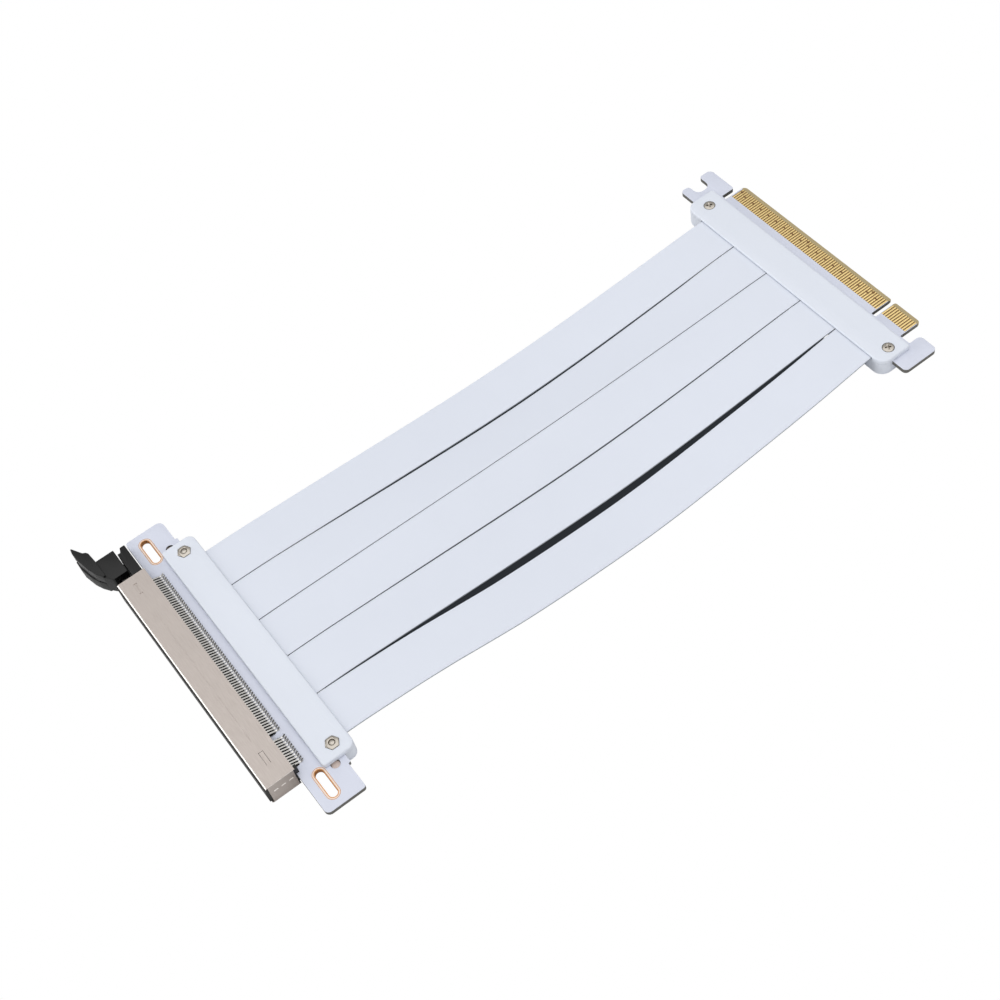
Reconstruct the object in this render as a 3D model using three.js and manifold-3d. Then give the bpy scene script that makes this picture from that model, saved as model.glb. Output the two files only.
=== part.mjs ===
// A riser cable for a graphics card: an edge connector slot on a small board at one end,
// a card edge plug at the other, and five flat ribbons side by side between them.
// Millimetres. +Z is up from the surface that the cable lies on, X runs along the slot,
// Y runs from the slot to the plug, and the origin is under the middle of the slot end's cover.

import * as THREE from 'three';
import { mergeVertices } from 'three/addons/utils/BufferGeometryUtils.js';
import Module from 'manifold-3d';

const wasm = await Module();
wasm.setup();

// Driving dimensions: contacts
const CONTACT_PITCH = 1.0;
const LONG_CONTACTS = 71;
const SHORT_CONTACTS = 11;
const KEY_TO_CONTACT = 1.5; // from the middle of the key to the nearest contact on each side
const LONG_SPAN = Math.round(LONG_CONTACTS - 1) * CONTACT_PITCH;
const SHORT_SPAN = Math.round(SHORT_CONTACTS - 1) * CONTACT_PITCH;
const ROW_HALF = (LONG_SPAN + SHORT_SPAN) / 2 + KEY_TO_CONTACT;
const KEY_X = ROW_HALF - SHORT_SPAN - KEY_TO_CONTACT; // middle of the key between the groups

// Driving dimensions: covers
const SCREW_PAST_ROW = 1.9; // from the last contact to the screw beside it
const SCREW_FROM_END = 4.6;
const SCREW_X = ROW_HALF + SCREW_PAST_ROW;
const COVER_HALF = SCREW_X + SCREW_FROM_END;
const COVER_FRONT = 6.05; // from a cover's middle to its edge on the board's side
// rear: from its middle to where the ribbons leave; screws: how far they sit off its middle
const SLOT_COVER = { rear: 5.3, cornerR: 2.5, screws: { x: 0, y: 0 } };
const PLUG_COVER = { rear: 6.0, cornerR: 3.8, screws: { x: -0.6, y: -0.3 } };
const COVER_TOP_Z = 6.8;
const COVER_ROOF = 0.6;
const COVER_FLOOR = 1.2;
const COVER_WALL = 1.3;
const COVER_FRONT_CORNER_R = 0.8;
const COVER_EDGE_BEVEL = 0.45;
const MOUTH_CLEARANCE = 0.4;
const FIT = 0.1; // clearance between pieces that are pressed together

// Driving dimensions: boards
const BOARD_THICKNESS = 1.6;
const BOARD_TOP_Z = 5.0;
const EAR_REACH = 12.3; // how far an ear stands out past the cover
const SLOT_BOARD_HALF = COVER_HALF + EAR_REACH;
const BOARD_LEFT_CORNER_R = 1.2;
const BOARD_RIGHT_CORNER_R = 1.7;
const SLOT_BOARD_FRONT_Y = -13.1;
const EAR_REAR_Y = 0.3;
const EAR_LEFT_CORNER_R = 2.2;
const EAR_RIGHT_CORNER_R = 0.9;
const EAR_STEP_Y = 1.1; // how far back the board reaches beside the cover
const EAR_STEP_X = COVER_HALF + 2.9;
const EAR_STEP_R = 0.35;
const SLOT_PAST_COVER = 4.0;
const PLATED_SLOT_X = COVER_HALF + SLOT_PAST_COVER;
const PLATED_SLOT_Y = -8.1;
const PLATED_SLOT_LENGTH = 10.4;
const PLATED_SLOT_WIDTH = 3.0;
const PEG_HOLE_X = COVER_HALF + 0.6;
const PEG_HOLE_Y = -2.7;
const PEG_HOLE_R = 1.5;
const TONGUE_HALF = COVER_HALF - 2.0; // half the width of the board's part inside a cover
const TONGUE_CORNER_R = 0.8;
const TONGUE_REACH = 4.6; // how far past the cover's middle that part reaches

// Driving dimensions: card edge of the plug
const EDGE_DEPTH = 8.9;
const EDGE_LEFT_X = -ROW_HALF - 1.0;
const EDGE_RIGHT_X = ROW_HALF + 0.65;
const EDGE_CORNER_R = 1.3;
const KEY_NOTCH_WIDTH = 1.9;
const KEY_NOTCH_R = 0.6;
const SHOULDER_R = 0.5;
const PAD_WIDTH = 0.7;
const PAD_LENGTH = 5.05;
const PAD_PROUD = 0.08;
const BEVEL_LENGTH = 1.55;
const BEVEL_DEPTH = 0.42;
const EDGE_SHOULDER = 7.4; // from the plug cover's middle to the foot of the card edge
const TAB_FOOT = 1.5; // from the plug cover's middle back to the tabs' near edge
const SIDE_NOTCH_WIDTH = 2.05;

// Driving dimensions: hooked tab and plain tab of the plug
const HOOK_PAST_COVER = 9.1;
const HOOK_REACH = COVER_HALF + HOOK_PAST_COVER;
const HOOK_TOP = 12.85; // all four are measured from the plug cover's middle
const HOOK_GAP_LOW = 2.1;
const HOOK_GAP_WIDTH = 5.6;
const HOOK_GAP_DEPTH = 6.0;
const HOOK_LOW_PRONG_SHORTER = 0.9;
const HOOK_CORNER_R = 1.4;
const TAB_PAST_EDGE = 4.15;
const TAB_LEFT_X = EDGE_RIGHT_X + TAB_PAST_EDGE;
const TAB_PAST_COVER = 5.8;
const TAB_RIGHT_X = COVER_HALF + TAB_PAST_COVER;
const TAB_TOP = 12.0;
const TAB_CORNER_R = 1.6;

// Driving dimensions: cable
const COVER_SPACING = 214.2; // between the middles of the two covers
const RIBBON_COUNT = 5;
const RIBBON_GAP = 0.23;
const RIBBON_BAND_HALF = ROW_HALF - 0.29;
const RIBBON_PITCH = (2 * RIBBON_BAND_HALF + RIBBON_GAP) / RIBBON_COUNT;
const RIBBON_WIDTH = RIBBON_PITCH - RIBBON_GAP;
const RIBBON_THICKNESS = 0.6;
const RIBBON_CENTRE_X = 1.63; // how far the ribbons sit to the right of the covers' middle
const RIBBON_LIFT = 0.3; // clearance over the board where a ribbon is soldered on
const RIBBON_START = 2.3; // from a cover's middle to a ribbon's end

// Driving dimensions: screws and nuts
const SCREW_R = 1.0;
const SCREW_HOLE_R = 1.15;
const HEAD_R = 1.95;
const HEAD_HEIGHT = 1.1;
const HEAD_RECESS = 1.0;
const RECESS_LONG = 2.2;
const RECESS_WIDE = 0.5;
const RECESS_DEEP = 0.6;
const NUT_FLATS = 4.0;
const NUT_HEIGHT = 1.2;
const NUT_RECESS = 0.9;

// Driving dimensions: connector
const SHELL_LEFT_PAST_ROW = 3.5;
const SHELL_RIGHT_PAST_ROW = 3.0;
const SHELL_LEFT_X = -ROW_HALF - SHELL_LEFT_PAST_ROW;
const SHELL_RIGHT_X = ROW_HALF + SHELL_RIGHT_PAST_ROW;
const SHELL_FRONT_Y = -23.0;
const SHELL_HEIGHT = 9.0;
const SHELL_SHEET = 0.3;
const SHELL_BEND_R = 0.6;
const SHELL_LIP = SHELL_BEND_R; // the front edges only bend over
const SHELL_GAP = 0.2; // between the sheet and the moulding in it
const FLAP_FRONT_BACK = 0.65; // how much the right end's flap stops short in front
const FLAP_REAR_BACK = 0.5;
const MOUTH_PROUD = 0.4; // how far the moulding stands out of the shell's mouth
const CARD_SLOT_WIDTH = 1.85;
const CARD_SLOT_DEPTH = 8.4;
const CARD_SLOT_PLAY = 0.25;
const KEY_RIB_WIDTH = 1.6;
const END_BLOCK_LENGTH = 1.4;
const END_BLOCK_REACH = 1.0;
const BOARD_GAP = 0.2;

// Driving dimensions: contact tails, which straddle the board's edge
const TAIL_WIDTH = 0.5;
const TAIL_SHEET = 0.2;
const TAIL_RISE = 1.0; // how high over the board a tail leaves the moulding
const TAIL_GRIP_Y = 2.8; // from the board's edge to where a tail meets the pad
const TAIL_TIP_Y = 4.0;
const TAIL_TIP_RISE = 0.7;
const TAIL_GAP = 0.1;
const TAIL_ROOT = 0.6;
const COMB_REACH = 1.9; // the moulding's comb that spaces the tails, from the board's edge
const COMB_SHEET = 0.2;
const COMB_GAP = 0.15;
const COMB_PAST_CONTACT = 0.6;

// Driving dimensions: latch lever and the moulding's foot that carries it
const PIVOT_FROM_SHELL = 4.5;
const PIVOT_FROM_BOARD = 5.8;
const PIVOT_X = SHELL_LEFT_X - PIVOT_FROM_SHELL;
const PIVOT_Y = SLOT_BOARD_FRONT_Y - PIVOT_FROM_BOARD;
const PIVOT_PIN_R = 0.9;
const PIVOT_PLAY = 0.25;
const POST_R = 2.0;
const POST_HALF = 1.3;
const LEVER_HALF = 3.7;
const LEVER_SLOT_HALF = 1.6;
const LEVER_ROOM = 1.4; // between the post and the lever's back wall
const TAB_HALF = 4.4;
const LEVER_BLOCK_LENGTH = 8.8; // from the pivot to the lever's left side
const LEVER_RIGHT_X = PIVOT_X + 1.1;
const LEVER_LEFT_X = PIVOT_X - LEVER_BLOCK_LENGTH;
const LEVER_FOOT_Y = PIVOT_Y + 1.4;
const LEVER_BLOCK_REACH = 5.0; // from the pivot to the thumb tab
const LEVER_TOP_Y = PIVOT_Y - LEVER_BLOCK_REACH;
const LEVER_CORNER_R = 0.4;
const LEVER_FRONT_CORNER_R = 1.2;
const THUMB_RIGHT_X = PIVOT_X + 1.9;
const THUMB_LENGTH = 20.0;
const THUMB_RISE = 4.8;
const FOOT_LENGTH = 8.1; // from the pivot to the foot's tip
const FOOT_LOW_Y = SLOT_BOARD_FRONT_Y - 0.6;
const FOOT_TOP_Y = PIVOT_Y + 1.75;
const FOOT_TIP_LENGTH = 1.8;
const FOOT_TIP_DROP = 2.8;
const FOOT_TIP_END_DROP = 3.5;
const FOOT_TIP_TOP_Y = PIVOT_Y + FOOT_TIP_DROP;
const FOOT_TIP_END_Y = PIVOT_Y + FOOT_TIP_END_DROP;
const FOOT_HALF = 3.8;

// The ribbons' way, as shares: of the way from end to end, of the way down, of the way out
const RIBBON_ROUTE = [
  [0, 0, 0], [0.018, 0, 0], [0.046, 0.01, 0.04], [0.085, 0.05, 0.13], [0.137, 0.17, 0.2],
  [0.194, 0.3, 0.37], [0.252, 0.44, 0.66], [0.309, 0.58, 0.9], [0.366, 0.72, 0.98],
  [0.424, 0.85, 1], [0.481, 0.95, 1], [0.538, 1, 0.98], [0.595, 0.98, 0.92], [0.653, 0.91, 0.8],
  [0.71, 0.8, 0.68], [0.767, 0.65, 0.58], [0.825, 0.48, 0.49], [0.882, 0.29, 0.37],
  [0.93, 0.12, 0.22], [0.963, 0.03, 0.1], [0.982, 0, 0], [1, 0, 0],
];
// Where each ribbon's left and right edge goes there: the height as a share of the height at
// which it leaves its covers, and the way out to the right as a share of its width
const RIBBON_SAG = [
  { left: 0.27, right: 0.17, leftOut: 0, rightOut: 0.006 },
  { left: 0.12, right: 0.69, leftOut: 0.031, rightOut: 0.006 },
  { left: 0.69, right: 0.2, leftOut: 0.003, rightOut: -0.009 },
  { left: 0.17, right: 0.12, leftOut: 0, rightOut: 0.009 },
  { left: 0.12, right: 0.12, leftOut: 0.166, rightOut: 0.184 },
];

// Sizes that follow from the driving dimensions
const BOARD_BOTTOM_Z = BOARD_TOP_Z - BOARD_THICKNESS;
const BOARD_MIDDLE_Z = BOARD_TOP_Z - BOARD_THICKNESS / 2;
const SHELL_MIDDLE_Z = SHELL_HEIGHT / 2;
const SHELL_REAR_Y = SLOT_BOARD_FRONT_Y;
const MOULDING_REAR_Y = SLOT_BOARD_FRONT_Y - BOARD_GAP;
const MOULDING_FRONT_Y = SHELL_FRONT_Y - MOUTH_PROUD;
const CONTACT_XS = contactPlaces();
const RIBBON_BOTTOM_Z = BOARD_TOP_Z + RIBBON_LIFT;
const RIBBON_TOP_Z = RIBBON_BOTTOM_Z + RIBBON_THICKNESS;
const CARD_EDGE_TIP = EDGE_SHOULDER + EDGE_DEPTH;
const FAR = 400; // reaches past the whole object

const MATERIALS = {
  boardWhite: finish(0xd9deea, 0.45, 0),
  coverWhite: finish(0xe3e7ee, 0.5, 0),
  ribbonWhite: finish(0xdde2ea, 0.55, 0),
  black: finish(0x17181a, 0.5, 0),
  steel: finish(0xc8bdb6, 0.35, 0.9),
  nickel: finish(0xcfc8be, 0.3, 0.95),
};

function finish(color, roughness, metalness) {
  return new THREE.MeshStandardMaterial({ color, roughness, metalness });
}

function contactPlaces() {
  const places = [];
  for (let i = 0; i < Math.round(LONG_CONTACTS); i += 1) {
    places.push(i * CONTACT_PITCH - ROW_HALF);
  }
  for (let i = 0; i < Math.round(SHORT_CONTACTS); i += 1) {
    places.push(KEY_X + KEY_TO_CONTACT + i * CONTACT_PITCH);
  }
  return places;
}

// Solids from geometries, and back

function solidOf(geometry) {
  const bare = geometry.clone();
  bare.deleteAttribute('normal');
  bare.deleteAttribute('uv');
  const merged = mergeVertices(bare, 1e-4);
  return new wasm.Manifold(new wasm.Mesh({
    numProp: 3,
    vertProperties: new Float32Array(merged.attributes.position.array),
    triVerts: new Uint32Array(merged.index.array),
  }));
}

function geometryOf(solid) {
  const mesh = solid.getMesh();
  const geometry = new THREE.BufferGeometry();
  geometry.setAttribute('position', new THREE.BufferAttribute(new Float32Array(mesh.vertProperties), 3));
  geometry.setIndex(new THREE.BufferAttribute(new Uint32Array(mesh.triVerts), 1));
  return geometry;
}

function joined(...geometries) {
  return geometries.map(solidOf).reduce((whole, next) => whole.add(next));
}

function cutFrom(solid, ...geometries) {
  return geometries.map(solidOf).reduce((rest, tool) => rest.subtract(tool), solid);
}

// Plain shapes

function box([x0, x1], [y0, y1], [z0, z1]) {
  const geometry = new THREE.BoxGeometry(x1 - x0, y1 - y0, z1 - z0);
  return geometry.translate((x0 + x1) / 2, (y0 + y1) / 2, (z0 + z1) / 2);
}

function rod(x, y, radius, [z0, z1], sides = 24) {
  const geometry = new THREE.CylinderGeometry(radius, radius, z1 - z0, sides);
  return geometry.rotateX(Math.PI / 2).translate(x, y, (z0 + z1) / 2);
}

function plate(shape, [z0, z1]) {
  const geometry = new THREE.ExtrudeGeometry(shape, {
    depth: z1 - z0,
    curveSegments: 6,
    bevelEnabled: false,
  });
  return geometry.translate(0, 0, z0);
}

// A plate whose upper edge is rounded off
function softPlate(shape, [z0, z1], bevel) {
  const geometry = new THREE.ExtrudeGeometry(shape, {
    depth: z1 - z0,
    curveSegments: 6,
    bevelThickness: bevel,
    bevelSize: bevel,
    bevelOffset: -bevel,
    bevelSegments: 2,
  });
  geometry.translate(0, 0, z0 - bevel);
  const below = box([-FAR, FAR], [-FAR, FAR], [z0 - FAR, z0]);
  return cutFrom(solidOf(geometry), below);
}

// Extrudes an outline drawn in Y and Z along X
function barAlongX(points, [x0, x1]) {
  const shape = new THREE.Shape(points.map(([y, z]) => new THREE.Vector2(y, z)));
  const geometry = new THREE.ExtrudeGeometry(shape, { depth: x1 - x0, bevelEnabled: false });
  const turn = new THREE.Matrix4().makeBasis(
    new THREE.Vector3(0, 1, 0),
    new THREE.Vector3(0, 0, 1),
    new THREE.Vector3(1, 0, 0),
  );
  return geometry.applyMatrix4(turn).translate(x0, 0, 0);
}

// Draws a closed outline through corners, each rounded by its own radius
function roundedOutline(corners) {
  const shape = new THREE.Shape();
  corners.forEach(([x, y, radius = 0], i) => {
    const here = new THREE.Vector2(x, y);
    const before = corners[(i + corners.length - 1) % corners.length];
    const after = corners[(i + 1) % corners.length];
    const back = new THREE.Vector2(before[0] - x, before[1] - y).normalize();
    const ahead = new THREE.Vector2(after[0] - x, after[1] - y).normalize();
    const half = Math.acos(THREE.MathUtils.clamp(back.dot(ahead), -1, 1)) / 2;
    const run = radius / Math.tan(half);
    const from = here.clone().addScaledVector(back, run);
    const to = here.clone().addScaledVector(ahead, run);
    if (i === 0) {
      shape.moveTo(from.x, from.y);
    } else {
      shape.lineTo(from.x, from.y);
    }
    if (radius > 0) {
      const middle = back.clone().add(ahead).normalize().multiplyScalar(radius / Math.sin(half));
      const centre = here.clone().add(middle);
      const start = Math.atan2(from.y - centre.y, from.x - centre.x);
      const end = Math.atan2(to.y - centre.y, to.x - centre.x);
      const clockwise = back.x * ahead.y - back.y * ahead.x > 0;
      shape.absarc(centre.x, centre.y, radius, start, end, clockwise);
    }
  });
  shape.closePath();
  return shape;
}

function stadium(x, y, length, width) {
  const straight = (length - width) / 2;
  const path = new THREE.Path();
  path.absarc(x + straight, y, width / 2, -Math.PI / 2, Math.PI / 2, false);
  path.absarc(x - straight, y, width / 2, Math.PI / 2, (3 * Math.PI) / 2, false);
  path.closePath();
  return path;
}

function roundHole(x, y, radius) {
  const path = new THREE.Path();
  path.absarc(x, y, radius, 0, 2 * Math.PI, true);
  return path;
}

const group = new THREE.Group();

function addPiece(name, geometry, material, parent = group) {
  geometry.computeVertexNormals();
  const mesh = new THREE.Mesh(geometry, material);
  mesh.name = name;
  parent.add(mesh);
  return mesh;
}

// Slot board: ears with plated slots, and a tongue that reaches under the cover

function slotBoard() {
  const half = SLOT_BOARD_HALF;
  const front = SLOT_BOARD_FRONT_Y;
  const shape = roundedOutline([
    [-half, front, BOARD_LEFT_CORNER_R],
    [half, front, BOARD_RIGHT_CORNER_R],
    [half, EAR_REAR_Y, EAR_RIGHT_CORNER_R],
    [EAR_STEP_X, EAR_REAR_Y, EAR_STEP_R],
    [EAR_STEP_X, EAR_STEP_Y, EAR_STEP_R],
    [TONGUE_HALF, EAR_STEP_Y],
    [TONGUE_HALF, TONGUE_REACH, TONGUE_CORNER_R],
    [-TONGUE_HALF, TONGUE_REACH, TONGUE_CORNER_R],
    [-TONGUE_HALF, EAR_STEP_Y],
    [-EAR_STEP_X, EAR_STEP_Y, EAR_STEP_R],
    [-EAR_STEP_X, EAR_REAR_Y, EAR_STEP_R],
    [-half, EAR_REAR_Y, EAR_LEFT_CORNER_R],
  ]);
  for (const side of [-1, 1]) {
    shape.holes.push(stadium(side * PLATED_SLOT_X, PLATED_SLOT_Y, PLATED_SLOT_LENGTH, PLATED_SLOT_WIDTH));
    shape.holes.push(roundHole(side * PEG_HOLE_X, PEG_HOLE_Y, PEG_HOLE_R));
    shape.holes.push(roundHole(side * SCREW_X, 0, SCREW_HOLE_R));
  }
  return plate(shape, [BOARD_BOTTOM_Z, BOARD_TOP_Z]);
}

// Plug board: card edge with gold pads on both faces, hooked tab on the left, plain tab on the right

function plugOutline(middle) {
  const foot = middle - TAB_FOOT;
  const shoulder = middle + EDGE_SHOULDER;
  const tip = middle + CARD_EDGE_TIP;
  const notch = KEY_NOTCH_WIDTH / 2;
  const hookRight = EDGE_LEFT_X - SIDE_NOTCH_WIDTH;
  const gapLow = middle + HOOK_GAP_LOW;
  const gapHigh = gapLow + HOOK_GAP_WIDTH;
  const gapEnd = -HOOK_REACH + HOOK_GAP_DEPTH;
  const gapR = HOOK_GAP_WIDTH * 0.42;
  const lowProng = -HOOK_REACH + HOOK_LOW_PRONG_SHORTER;
  const tongue = middle - TONGUE_REACH;
  return roundedOutline([
    [-TONGUE_HALF, tongue, TONGUE_CORNER_R],
    [TONGUE_HALF, tongue, TONGUE_CORNER_R],
    [TONGUE_HALF, foot],
    [TAB_RIGHT_X, foot, TAB_CORNER_R],
    [TAB_RIGHT_X, middle + TAB_TOP, TAB_CORNER_R],
    [TAB_LEFT_X, middle + TAB_TOP, TAB_CORNER_R],
    [TAB_LEFT_X, shoulder, SHOULDER_R],
    [EDGE_RIGHT_X, shoulder],
    [EDGE_RIGHT_X, tip, EDGE_CORNER_R],
    [KEY_X + notch, tip, KEY_NOTCH_R],
    [KEY_X + notch, shoulder],
    [KEY_X - notch, shoulder],
    [KEY_X - notch, tip, KEY_NOTCH_R],
    [EDGE_LEFT_X, tip, EDGE_CORNER_R],
    [EDGE_LEFT_X, shoulder, SHOULDER_R],
    [hookRight, shoulder],
    [hookRight, middle + HOOK_TOP, HOOK_CORNER_R],
    [-HOOK_REACH, middle + HOOK_TOP, HOOK_CORNER_R],
    [-HOOK_REACH, gapHigh, HOOK_CORNER_R],
    [gapEnd, gapHigh, gapR],
    [gapEnd, gapLow, gapR],
    [lowProng, gapLow, HOOK_CORNER_R],
    [lowProng, foot, HOOK_CORNER_R],
    [-TONGUE_HALF, foot],
  ]);
}

function plugBoard() {
  const middle = COVER_SPACING;
  const shape = plugOutline(middle);
  for (const side of [-1, 1]) {
    shape.holes.push(roundHole(
      side * SCREW_X - PLUG_COVER.screws.x,
      middle - PLUG_COVER.screws.y,
      SCREW_HOLE_R,
    ));
  }
  const tip = middle + CARD_EDGE_TIP;
  const padEnd = tip - BEVEL_LENGTH;
  const pads = CONTACT_XS.flatMap((x) => {
    const across = [x - PAD_WIDTH / 2, x + PAD_WIDTH / 2];
    const along = [padEnd - PAD_LENGTH, padEnd];
    const rooted = BOARD_THICKNESS / 4;
    return [
      box(across, along, [BOARD_TOP_Z - rooted, BOARD_TOP_Z + PAD_PROUD]),
      box(across, along, [BOARD_BOTTOM_Z - PAD_PROUD, BOARD_BOTTOM_Z + rooted]),
    ];
  });
  const bevelX = [EDGE_LEFT_X - 1, EDGE_RIGHT_X + 1];
  const bevels = [1, -1].map((face) => {
    const surface = BOARD_MIDDLE_Z + (face * BOARD_THICKNESS) / 2;
    const points = [
      [padEnd, surface],
      [tip, surface - face * BEVEL_DEPTH],
      [tip + 1, surface - face * BEVEL_DEPTH],
      [tip + 1, surface + face],
      [padEnd, surface + face],
    ];
    return barAlongX(face > 0 ? points : points.reverse(), bevelX);
  });
  const bare = cutFrom(solidOf(plate(shape, [BOARD_BOTTOM_Z, BOARD_TOP_Z])), ...bevels);
  return geometryOf(wasm.Manifold.union([bare, ...pads.map(solidOf)]));
}

// Covers: drawn around their own middle, with the ribbons leaving towards +Y

function coverOutline({ rear, cornerR }) {
  return roundedOutline([
    [-COVER_HALF, -COVER_FRONT, COVER_FRONT_CORNER_R],
    [COVER_HALF, -COVER_FRONT, COVER_FRONT_CORNER_R],
    [COVER_HALF, rear, cornerR],
    [-COVER_HALF, rear, cornerR],
  ]);
}

function screwPlaces({ screws }) {
  return [-1, 1].map((side) => [side * SCREW_X + screws.x, screws.y]);
}

function hexagon(x, y, flats, [z0, z1]) {
  const geometry = new THREE.CylinderGeometry(flats / Math.sqrt(3), flats / Math.sqrt(3), z1 - z0, 6);
  return geometry.rotateX(Math.PI / 2).translate(x, y, (z0 + z1) / 2);
}

function upperCover(cover, ribbonX, nutOnTop) {
  const body = softPlate(coverOutline(cover), [BOARD_TOP_Z + FIT, COVER_TOP_Z], COVER_EDGE_BEVEL);
  const mouth = box(
    [ribbonX - RIBBON_BAND_HALF - MOUTH_CLEARANCE, ribbonX + RIBBON_BAND_HALF + MOUTH_CLEARANCE],
    [RIBBON_START - MOUTH_CLEARANCE, 2 * COVER_FRONT],
    [BOARD_TOP_Z - 1, COVER_TOP_Z - COVER_ROOF],
  );
  const holes = screwPlaces(cover).flatMap(([x, y]) => [
    rod(x, y, SCREW_HOLE_R, [0, 2 * COVER_TOP_Z]),
    nutOnTop
      ? hexagon(x, y, NUT_FLATS + 2 * FIT, [COVER_TOP_Z - NUT_RECESS, 2 * COVER_TOP_Z])
      : rod(x, y, HEAD_R + FIT, [COVER_TOP_Z - HEAD_RECESS, 2 * COVER_TOP_Z]),
  ]);
  return geometryOf(cutFrom(body, mouth, ...holes));
}

function lowerCover(cover, boardRear, nutBelow) {
  const body = solidOf(plate(coverOutline(cover), [0, BOARD_TOP_Z]));
  const bed = BOARD_BOTTOM_Z - FIT;
  const past = 2 * COVER_FRONT;
  const earPocket = box([-FAR, FAR], [-past, boardRear + FIT], [bed, 2 * BOARD_TOP_Z]);
  const tonguePocket = box(
    [-TONGUE_HALF - FIT, TONGUE_HALF + FIT],
    [-past, TONGUE_REACH + FIT],
    [bed, 2 * BOARD_TOP_Z],
  );
  const reach = SCREW_X - Math.abs(cover.screws.x) - HEAD_R - COVER_WALL;
  const hollow = box(
    [-reach, reach],
    [COVER_WALL - COVER_FRONT, cover.rear - COVER_WALL],
    [COVER_FLOOR, BOARD_TOP_Z],
  );
  const rear = box([-reach - 1, reach + 1], [TONGUE_REACH - 1, past], [BOARD_TOP_Z - FIT, 2 * BOARD_TOP_Z]);
  const holes = screwPlaces(cover).flatMap(([x, y]) => [
    rod(x, y, SCREW_HOLE_R, [-1, 2 * BOARD_TOP_Z]),
    nutBelow
      ? hexagon(x, y, NUT_FLATS + 2 * FIT, [-1, NUT_HEIGHT + 2 * FIT])
      : rod(x, y, HEAD_R + FIT, [-1, HEAD_HEIGHT + FIT]),
  ]);
  return geometryOf(cutFrom(body, earPocket, tonguePocket, hollow, rear, ...holes));
}

// A screw with a crossed recess, head down, its head's face at z = 0
function screw(length) {
  const whole = joined(
    rod(0, 0, HEAD_R, [0, HEAD_HEIGHT]),
    rod(0, 0, SCREW_R, [HEAD_HEIGHT / 2, length], 16),
  );
  const deep = [-1, RECESS_DEEP];
  return geometryOf(cutFrom(
    whole,
    box([-RECESS_LONG / 2, RECESS_LONG / 2], [-RECESS_WIDE / 2, RECESS_WIDE / 2], deep),
    box([-RECESS_WIDE / 2, RECESS_WIDE / 2], [-RECESS_LONG / 2, RECESS_LONG / 2], deep),
  ));
}

function nut() {
  const body = solidOf(hexagon(0, 0, NUT_FLATS, [0, NUT_HEIGHT]));
  return geometryOf(cutFrom(body, rod(0, 0, SCREW_R + FIT / 2, [-1, NUT_HEIGHT + 1], 16)));
}

// Connector shell: one folded sheet, open behind and at the latch's end, with a lip round the mouth

function shell() {
  const r = SHELL_BEND_R;
  const front = SHELL_FRONT_Y;
  const bend = (y, z, start) => [0, 1, 2, 3].map((i) => {
    const angle = start + (i * Math.PI) / 6;
    return [y + r * Math.cos(angle), z + r * Math.sin(angle)];
  });
  const outline = [
    [SHELL_REAR_Y, 0],
    [SHELL_REAR_Y, SHELL_HEIGHT],
    ...bend(front + r, SHELL_HEIGHT - r, Math.PI / 2),
    ...bend(front + r, r, Math.PI),
  ];
  const body = solidOf(barAlongX(outline, [SHELL_LEFT_X, SHELL_RIGHT_X]));
  const inside = box(
    [SHELL_LEFT_X - 1, SHELL_RIGHT_X - SHELL_SHEET],
    [front + SHELL_SHEET, SHELL_REAR_Y + 1],
    [SHELL_SHEET, SHELL_HEIGHT - SHELL_SHEET],
  );
  const mouth = box(
    [SHELL_LEFT_X - 1, SHELL_RIGHT_X - SHELL_SHEET],
    [front - 1, front + 1],
    [SHELL_LIP, SHELL_HEIGHT - SHELL_LIP],
  );
  const flapX = [SHELL_RIGHT_X - 2 * SHELL_SHEET, SHELL_RIGHT_X + 1];
  const flapZ = [SHELL_SHEET, SHELL_HEIGHT - SHELL_SHEET];
  const flapEnds = [
    box(flapX, [front - 1, front + FLAP_FRONT_BACK], flapZ),
    box(flapX, [SHELL_REAR_Y - FLAP_REAR_BACK, SHELL_REAR_Y + 1], flapZ),
  ];
  return geometryOf(cutFrom(body, inside, mouth, ...flapEnds));
}

// Contact tail: leaves the moulding, comes down on its pad and turns up at the tip
function tail(x, face) {
  const level = BOARD_MIDDLE_Z + face * (BOARD_THICKNESS / 2 + TAIL_GAP);
  const edge = SLOT_BOARD_FRONT_Y;
  const line = [
    [MOULDING_REAR_Y - TAIL_ROOT, TAIL_RISE],
    [edge, TAIL_RISE],
    [edge + TAIL_GRIP_Y, 0],
    [edge + TAIL_TIP_Y, TAIL_TIP_RISE],
  ];
  const near = line.map(([y, rise]) => [y, level + face * rise]);
  const far = line.map(([y, rise]) => [y, level + face * (rise + TAIL_SHEET)]).reverse();
  const points = [...near, ...far];
  const half = TAIL_WIDTH / 2;
  return barAlongX(face > 0 ? points : points.reverse(), [x - half, x + half]);
}

// Connector moulding: body with the card slot, foot and post for the latch, and its contact tails

function latchFoot() {
  const z = SHELL_MIDDLE_Z;
  const left = PIVOT_X - FOOT_LENGTH;
  const outline = roundedOutline([
    [left, FOOT_LOW_Y],
    [SHELL_LEFT_X + 1, FOOT_LOW_Y],
    [SHELL_LEFT_X + 1, FOOT_TOP_Y],
    [left + FOOT_TIP_LENGTH, FOOT_TOP_Y],
    [left + FOOT_TIP_LENGTH, FOOT_TIP_TOP_Y],
    [left, FOOT_TIP_END_Y],
  ]);
  return [
    plate(outline, [z - FOOT_HALF, z + FOOT_HALF]),
    box([PIVOT_X - POST_R, SHELL_LEFT_X + 1], [PIVOT_Y, FOOT_LOW_Y], [z - POST_HALF, z + POST_HALF]),
    rod(PIVOT_X, PIVOT_Y, POST_R, [z - POST_HALF, z + POST_HALF]),
    rod(PIVOT_X, PIVOT_Y, PIVOT_PIN_R, [z - LEVER_SLOT_HALF - 1, z + LEVER_SLOT_HALF + 1], 16),
  ];
}

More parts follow.
